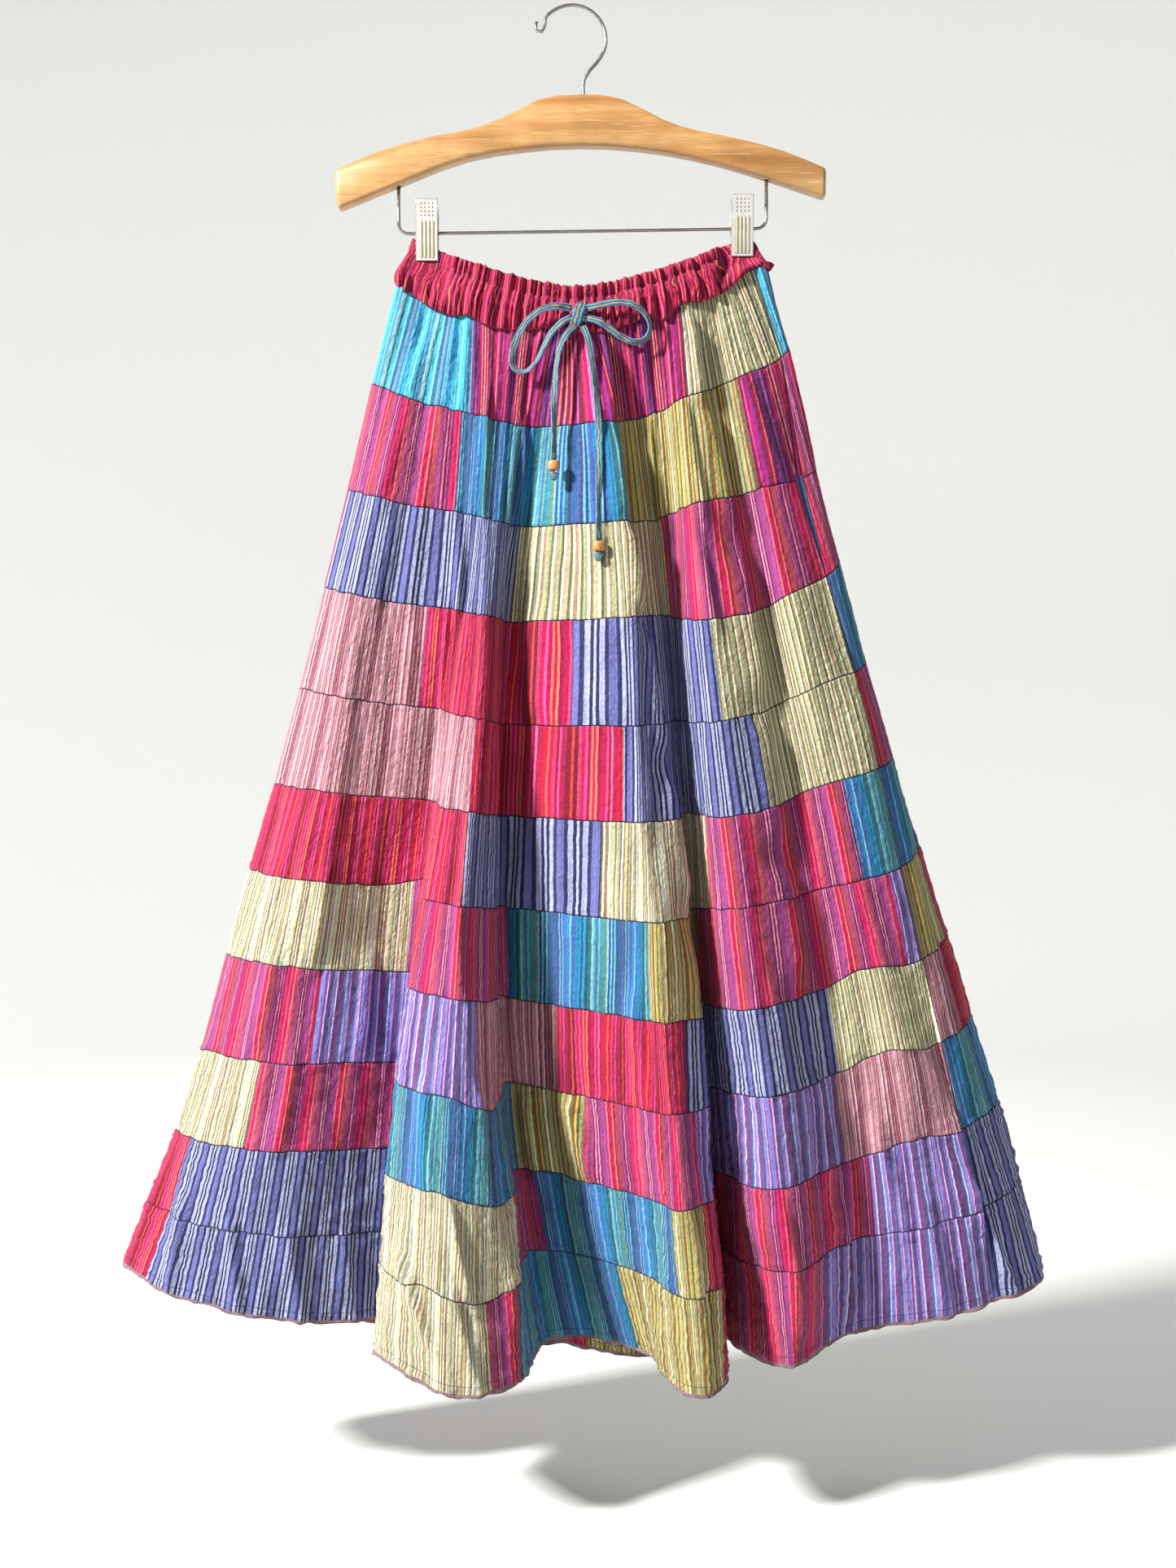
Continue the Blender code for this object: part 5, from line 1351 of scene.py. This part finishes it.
# The hanger's arm: one shaped board of beech under a worn coat of honey varnish. The part's board
# has the right form, so a merged copy of it takes the wood's grain, pores and scratches.
def finished_copy(node, name, material, sharp_angle, bevel=0.0):
    """A merged, smoothly shaded copy of a CAD node's mesh."""
    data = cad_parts[node].data.copy()
    data.materials.clear()
    shape = bmesh.new()
    shape.from_mesh(data)
    bmesh.ops.remove_doubles(shape, verts=shape.verts, dist=0.000005)
    bmesh.ops.dissolve_limit(shape, angle_limit=radians(0.5), verts=shape.verts, edges=shape.edges)
    shape.to_mesh(data)
    shape.free()
    piece = link_object(name, data, material)
    if bevel:
        edges = piece.modifiers.new("worn edges", "BEVEL")
        edges.width = bevel
        edges.segments = 2
        edges.limit_method = "ANGLE"
        edges.angle_limit = radians(40)
    data.shade_smooth()
    data.set_sharp_from_angle(angle=radians(sharp_angle))
    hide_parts(node)
    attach(piece, "root")
    return piece


varnished_wood, tree, shader = new_material(
    "honey varnished beech", Coat_Weight=0.45, Coat_Roughness=0.18, Specular_IOR_Level=0.5
)
place = own_place(tree)
grain = noise(tree, place, (5, 40, 60), 4.0, 0.5)
colour = colour_ramp(tree, grain, (
    (0.30, 160, 112, 62), (0.44, 174, 128, 76), (0.56, 186, 142, 88), (0.72, 200, 160, 108),
))
fibres = noise(tree, place, (60, 700, 1500), 3.0)
colour = mixed(tree, ranged(tree, fibres, 0.30, 0.44, 0.55, 0.0), colour, srgb(150, 96, 48))
scratches = noise(tree, place, (26, 300, 1500), 1.0, turned=(0.0, 0.16, 0.0))
scratches = ranged(tree, scratches, 0.70, 0.76, 0.0, 0.55)
colour = mixed(tree, scratches, colour, srgb(250, 232, 200))
worn = noise(tree, place, 34.0, 5.0)
colour = dimmed(tree, colour, ranged(tree, worn, 0.32, 0.68, 0.86, 1.08))
gloss = ranged(tree, worn, 0.3, 0.7, 0.26, 0.48)
link_looks(tree, shader, colour, ((fibres, 0.0002, 0.35), (scratches, 0.0002, 0.6, True)), gloss)
finished_copy("hanger_wood", "hanger_arm", varnished_wood, 38)


# The hook and the bar: bright drawn steel wire, 3.2 mm thick, bent cold. The hook is driven into
# the arm, and the bar's two ends turn up into holes in its underside.
drawn_wire, tree, shader = new_material("bright steel wire", Metallic=0.85)
place = own_place(tree)
streaks = noise(tree, place, 260.0, 5.0)
colour = mixed(tree, noise(tree, place, 30.0, 3.0), srgb(124, 118, 112), srgb(190, 186, 180))
gloss = ranged(tree, streaks, 0.3, 0.7, 0.14, 0.34)
link_looks(tree, shader, colour, ((streaks, 0.0001, 0.3),), gloss)
finished_copy("hook", "steel_hook", drawn_wire, 80)
finished_copy("wire_bar", "steel_bar", drawn_wire, 80)


# The clips: two bent plates of nickelled steel round a small brass coil. The front plate is pressed
# with four long grooves for the fingers and sixteen round dots above them.
EMBOSS_PITCH = 0.0033
GROOVE_WIDTH = 0.0021
GROOVE_DEPTH = 0.0005
GROOVE_FOOT, GROOVE_HEAD = -0.0222, 0.0090
DOT_HEIGHTS = (0.0137, 0.0170, 0.0203, 0.0236)
DOT_RADIUS = 0.0007
# Columns: height from the bar, outer face from the middle plane
CLIP_FACE = (
    (-0.0245, 0.0038), (-0.0190, 0.0040), (-0.0080, 0.0052), (0.0000, 0.0058), (0.0120, 0.0070),
    (0.0235, 0.0083), (0.0275, 0.0088),
)
BAR_HEIGHTS = {"left": -0.1949, "right": -0.1910}
CLIP_HALF_WIDTH = 0.0095
CLIP_HALF_HEIGHT = 0.0260
CLIP_MIDDLE = 0.0015  # above the bar
CLIP_RIM = 0.0009  # the width of the darker band along the plates' edges
WORN_EDGE = 0.0003  # the bevel along the plates' edges

embossing, embossing_in, embossing_out = new_group(
    "pressed marks and painted shade", (("Place", "Vector", None),), (("Groove", "Float"), ("Outline shade", "Float"))
)


def mark(across, upward, near, far):
    """1 up to the distance near from the middle of a groove or a dot, and 0 from far on."""
    away = add_node(embossing, "CombineXYZ", {0: across, 1: upward}).outputs[0]
    away = add_node(embossing, "VectorMath", {0: away}, operation="LENGTH").outputs["Value"]
    return maths(embossing, "MULTIPLY", ranged(embossing, away, near, far, 1.0, 0.0), inside)


sideways, _, height = parted(embossing, embossing_in[0])
column = maths(embossing, "DIVIDE", sideways, EMBOSS_PITCH)
inside = maths(embossing, "LESS_THAN", maths(embossing, "ABSOLUTE", column), 2.0)
across = maths(embossing, "SUBTRACT", maths(embossing, "FRACT", column), 0.5)
across = maths(embossing, "MULTIPLY", across, EMBOSS_PITCH)
ends = {0: height, 1: GROOVE_FOOT + 0.001, 2: GROOVE_HEAD - 0.001}
upward = maths(embossing, "SUBTRACT", height, add_node(embossing, "Clamp", ends).outputs[0])
groove = mark(across, upward, 0.00088, 0.00100)
embossing.links.new(groove, embossing_out["Groove"])
# Painted shade: a dark ring round each groove and dark dots, where the pressed relief's edges fall in
# shade
outline = mark(across, upward, 0.00118, 0.00140)
above = maths(embossing, "SUBTRACT", height, DOT_HEIGHTS[0])
row = maths(embossing, "ROUND", maths(embossing, "DIVIDE", above, EMBOSS_PITCH))
row = add_node(embossing, "Clamp", {0: row, 1: 0.0, 2: 3.0}).outputs[0]
above = maths(embossing, "SUBTRACT", above, maths(embossing, "MULTIPLY", row, EMBOSS_PITCH))
dot = mark(across, above, 0.00060, 0.00082)
outline = maths(embossing, "SUBTRACT", outline, groove)
embossing.links.new(maths(embossing, "MAXIMUM", outline, dot), embossing_out["Outline shade"])


def plate_metal(name, centre, height, pressed):
    """Nickelled steel with fine scratches and a darker band along its edges; if pressed, the pressed
    pattern's outlines and dots are darkened as painted shade.
    """
    material, tree, shader = new_material(name, Metallic=0.45)
    place = own_place(tree)
    own = add_node(tree, "VectorMath", {0: place, 1: (centre, 0.0, height)}, operation="SUBTRACT")
    brushed = noise(tree, place, (1800, 300, 160), 4.0)
    colour = mixed(tree, noise(tree, place, 130.0, 3.0), srgb(206, 204, 196), srgb(246, 246, 244))
    if pressed:
        marks = add_node(tree, "Group", {0: own.outputs[0]}, node_tree=embossing).outputs
        colour = mixed(tree, marks["Groove"], colour, srgb(222, 216, 184))
        # Painted shade on the pressed pattern's outlines and dots
        painted_shade = maths(tree, "MULTIPLY", marks["Outline shade"], 0.8)
        colour = mixed(tree, painted_shade, colour, srgb(96, 92, 84))
    # A darker band along the plate's edges
    sideways, _, upward = parted(tree, own.outputs[0])
    beside = maths(tree, "SUBTRACT", maths(tree, "ABSOLUTE", sideways), CLIP_HALF_WIDTH)
    upward = maths(tree, "ABSOLUTE", maths(tree, "SUBTRACT", upward, CLIP_MIDDLE))
    beyond = maths(tree, "SUBTRACT", upward, CLIP_HALF_HEIGHT)
    rim = ranged(tree, maths(tree, "MAXIMUM", beside, beyond), -CLIP_RIM, -CLIP_RIM / 3, 0.0, 0.7)
    colour = mixed(tree, rim, colour, srgb(118, 114, 106))
    gloss = ranged(tree, brushed, 0.3, 0.7, 0.24, 0.46)
    link_looks(tree, shader, colour, ((brushed, 0.0001, 0.3),), gloss)
    return material


def pressed_bar():
    """One groove's ridge: a bar with round ends and a rounded face, modelled at the origin."""
    long = GROOVE_HEAD - GROOVE_FOOT
    bpy.ops.object.select_all(action="DESELECT")
    bpy.ops.mesh.primitive_cube_add(size=1, scale=(GROOVE_WIDTH, 2 * GROOVE_DEPTH, long))
    bar = bpy.context.object
    bpy.ops.object.transform_apply(location=True, rotation=True, scale=True)
    bpy.ops.object.mode_set(mode="EDIT")
    pick(bar.data, "EDGE", lambda edge: abs(edge.verts[0].co.y - edge.verts[1].co.y) > GROOVE_DEPTH)
    bpy.ops.mesh.bevel(offset=GROOVE_WIDTH * 0.46, segments=5)
    pick(bar.data, "EDGE", lambda edge: all(vert.co.y < -GROOVE_DEPTH * 0.9 for vert in edge.verts))
    bpy.ops.mesh.bevel(offset=0.0003, segments=2)
    bpy.ops.object.mode_set(mode="OBJECT")
    return bar


def pressed_dot():
    """One dot: a flattened ball with its back half bisected away, modelled at the origin."""
    bpy.ops.object.select_all(action="DESELECT")
    bpy.ops.mesh.primitive_uv_sphere_add(segments=14, ring_count=8, radius=DOT_RADIUS)
    dot = bpy.context.object
    bpy.ops.object.mode_set(mode="EDIT")
    bpy.ops.mesh.select_all(action="SELECT")
    bpy.ops.mesh.bisect(plane_co=(0, 0.0002, 0), plane_no=(0, 1, 0), clear_outer=True, use_fill=True)
    bpy.ops.mesh.select_all(action="SELECT")
    bpy.ops.transform.resize(value=(1, 0.6, 1))
    bpy.ops.object.mode_set(mode="OBJECT")
    return dot


heights, faces = zip(*CLIP_FACE)
groove_bar, round_dot = pressed_bar(), pressed_dot()
foot_face, head_face = np.interp((GROOVE_FOOT, GROOVE_HEAD), heights, faces)
tilt = Matrix.Rotation(atan((head_face - foot_face) / (GROOVE_HEAD - GROOVE_FOOT)), 4, "X")
spots = [(groove_bar, (GROOVE_HEAD + GROOVE_FOOT) / 2)]
spots += [(round_dot, height) for height in DOT_HEIGHTS]
for side, centre in CLIP_CENTRES.items():
    level = BAR_HEIGHTS[side]
    plain = plate_metal(f"nickel plate {side}", centre, level, False)
    front_plate = plate_metal(f"pressed nickel plate {side}", centre, level, True)
    for half, metal in (("front", front_plate), ("back", plain)):
        name = f"{side}_clip_{half}_plate"
        finished_copy(f"clip_{side}_{half}", name, metal, 35, WORN_EDGE)
    copies = []
    for step in (-1.5, -0.5, 0.5, 1.5):
        for pattern, height in spots:
            copy = pattern.data.copy()
            place = (centre + step * EMBOSS_PITCH, -np.interp(height, heights, faces), level + height)
            copy.transform(Matrix.Translation(place) @ tilt)
            copies.append(link_object("pressed", copy))
    relief = join_pieces(copies, f"{side}_clip_relief")
    relief.data.shade_smooth()
    relief.data.set_sharp_from_angle(angle=radians(40))
    relief.data.materials.append(front_plate)
    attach(relief, "root")
for pattern in (groove_bar, round_dot):
    bpy.data.objects.remove(pattern)


# The clips' coils: a spring of brass wire in each clip, wound round the bar between the two
# plates. It presses the plates' lower ends together on the band.
COIL_PITCH = 0.0011
coil_brass, tree, shader = new_material("satin brass", Metallic=1.0)
place = own_place(tree)
# Painted shade: the brass is darkened in rings between the coil's turns, standing in for the shade in the
# grooves between the wires
turns = maths(tree, "SINE", maths(tree, "MULTIPLY", parted(tree, place)[0], 2 * pi / COIL_PITCH))
painted_groove_shade = ranged(tree, turns, -1.0, 0.2)
colour = mixed(tree, painted_groove_shade, srgb(92, 68, 34), srgb(214, 182, 118))
gloss = ranged(tree, noise(tree, place, 300.0, 3.0), 0.3, 0.7, 0.25, 0.45)
link_looks(tree, shader, colour, ((turns, 0.0003, 0.8),), gloss)
for side in CLIP_CENTRES:
    finished_copy(f"clip_{side}_spring", f"{side}_clip_coil", coil_brass, 50)
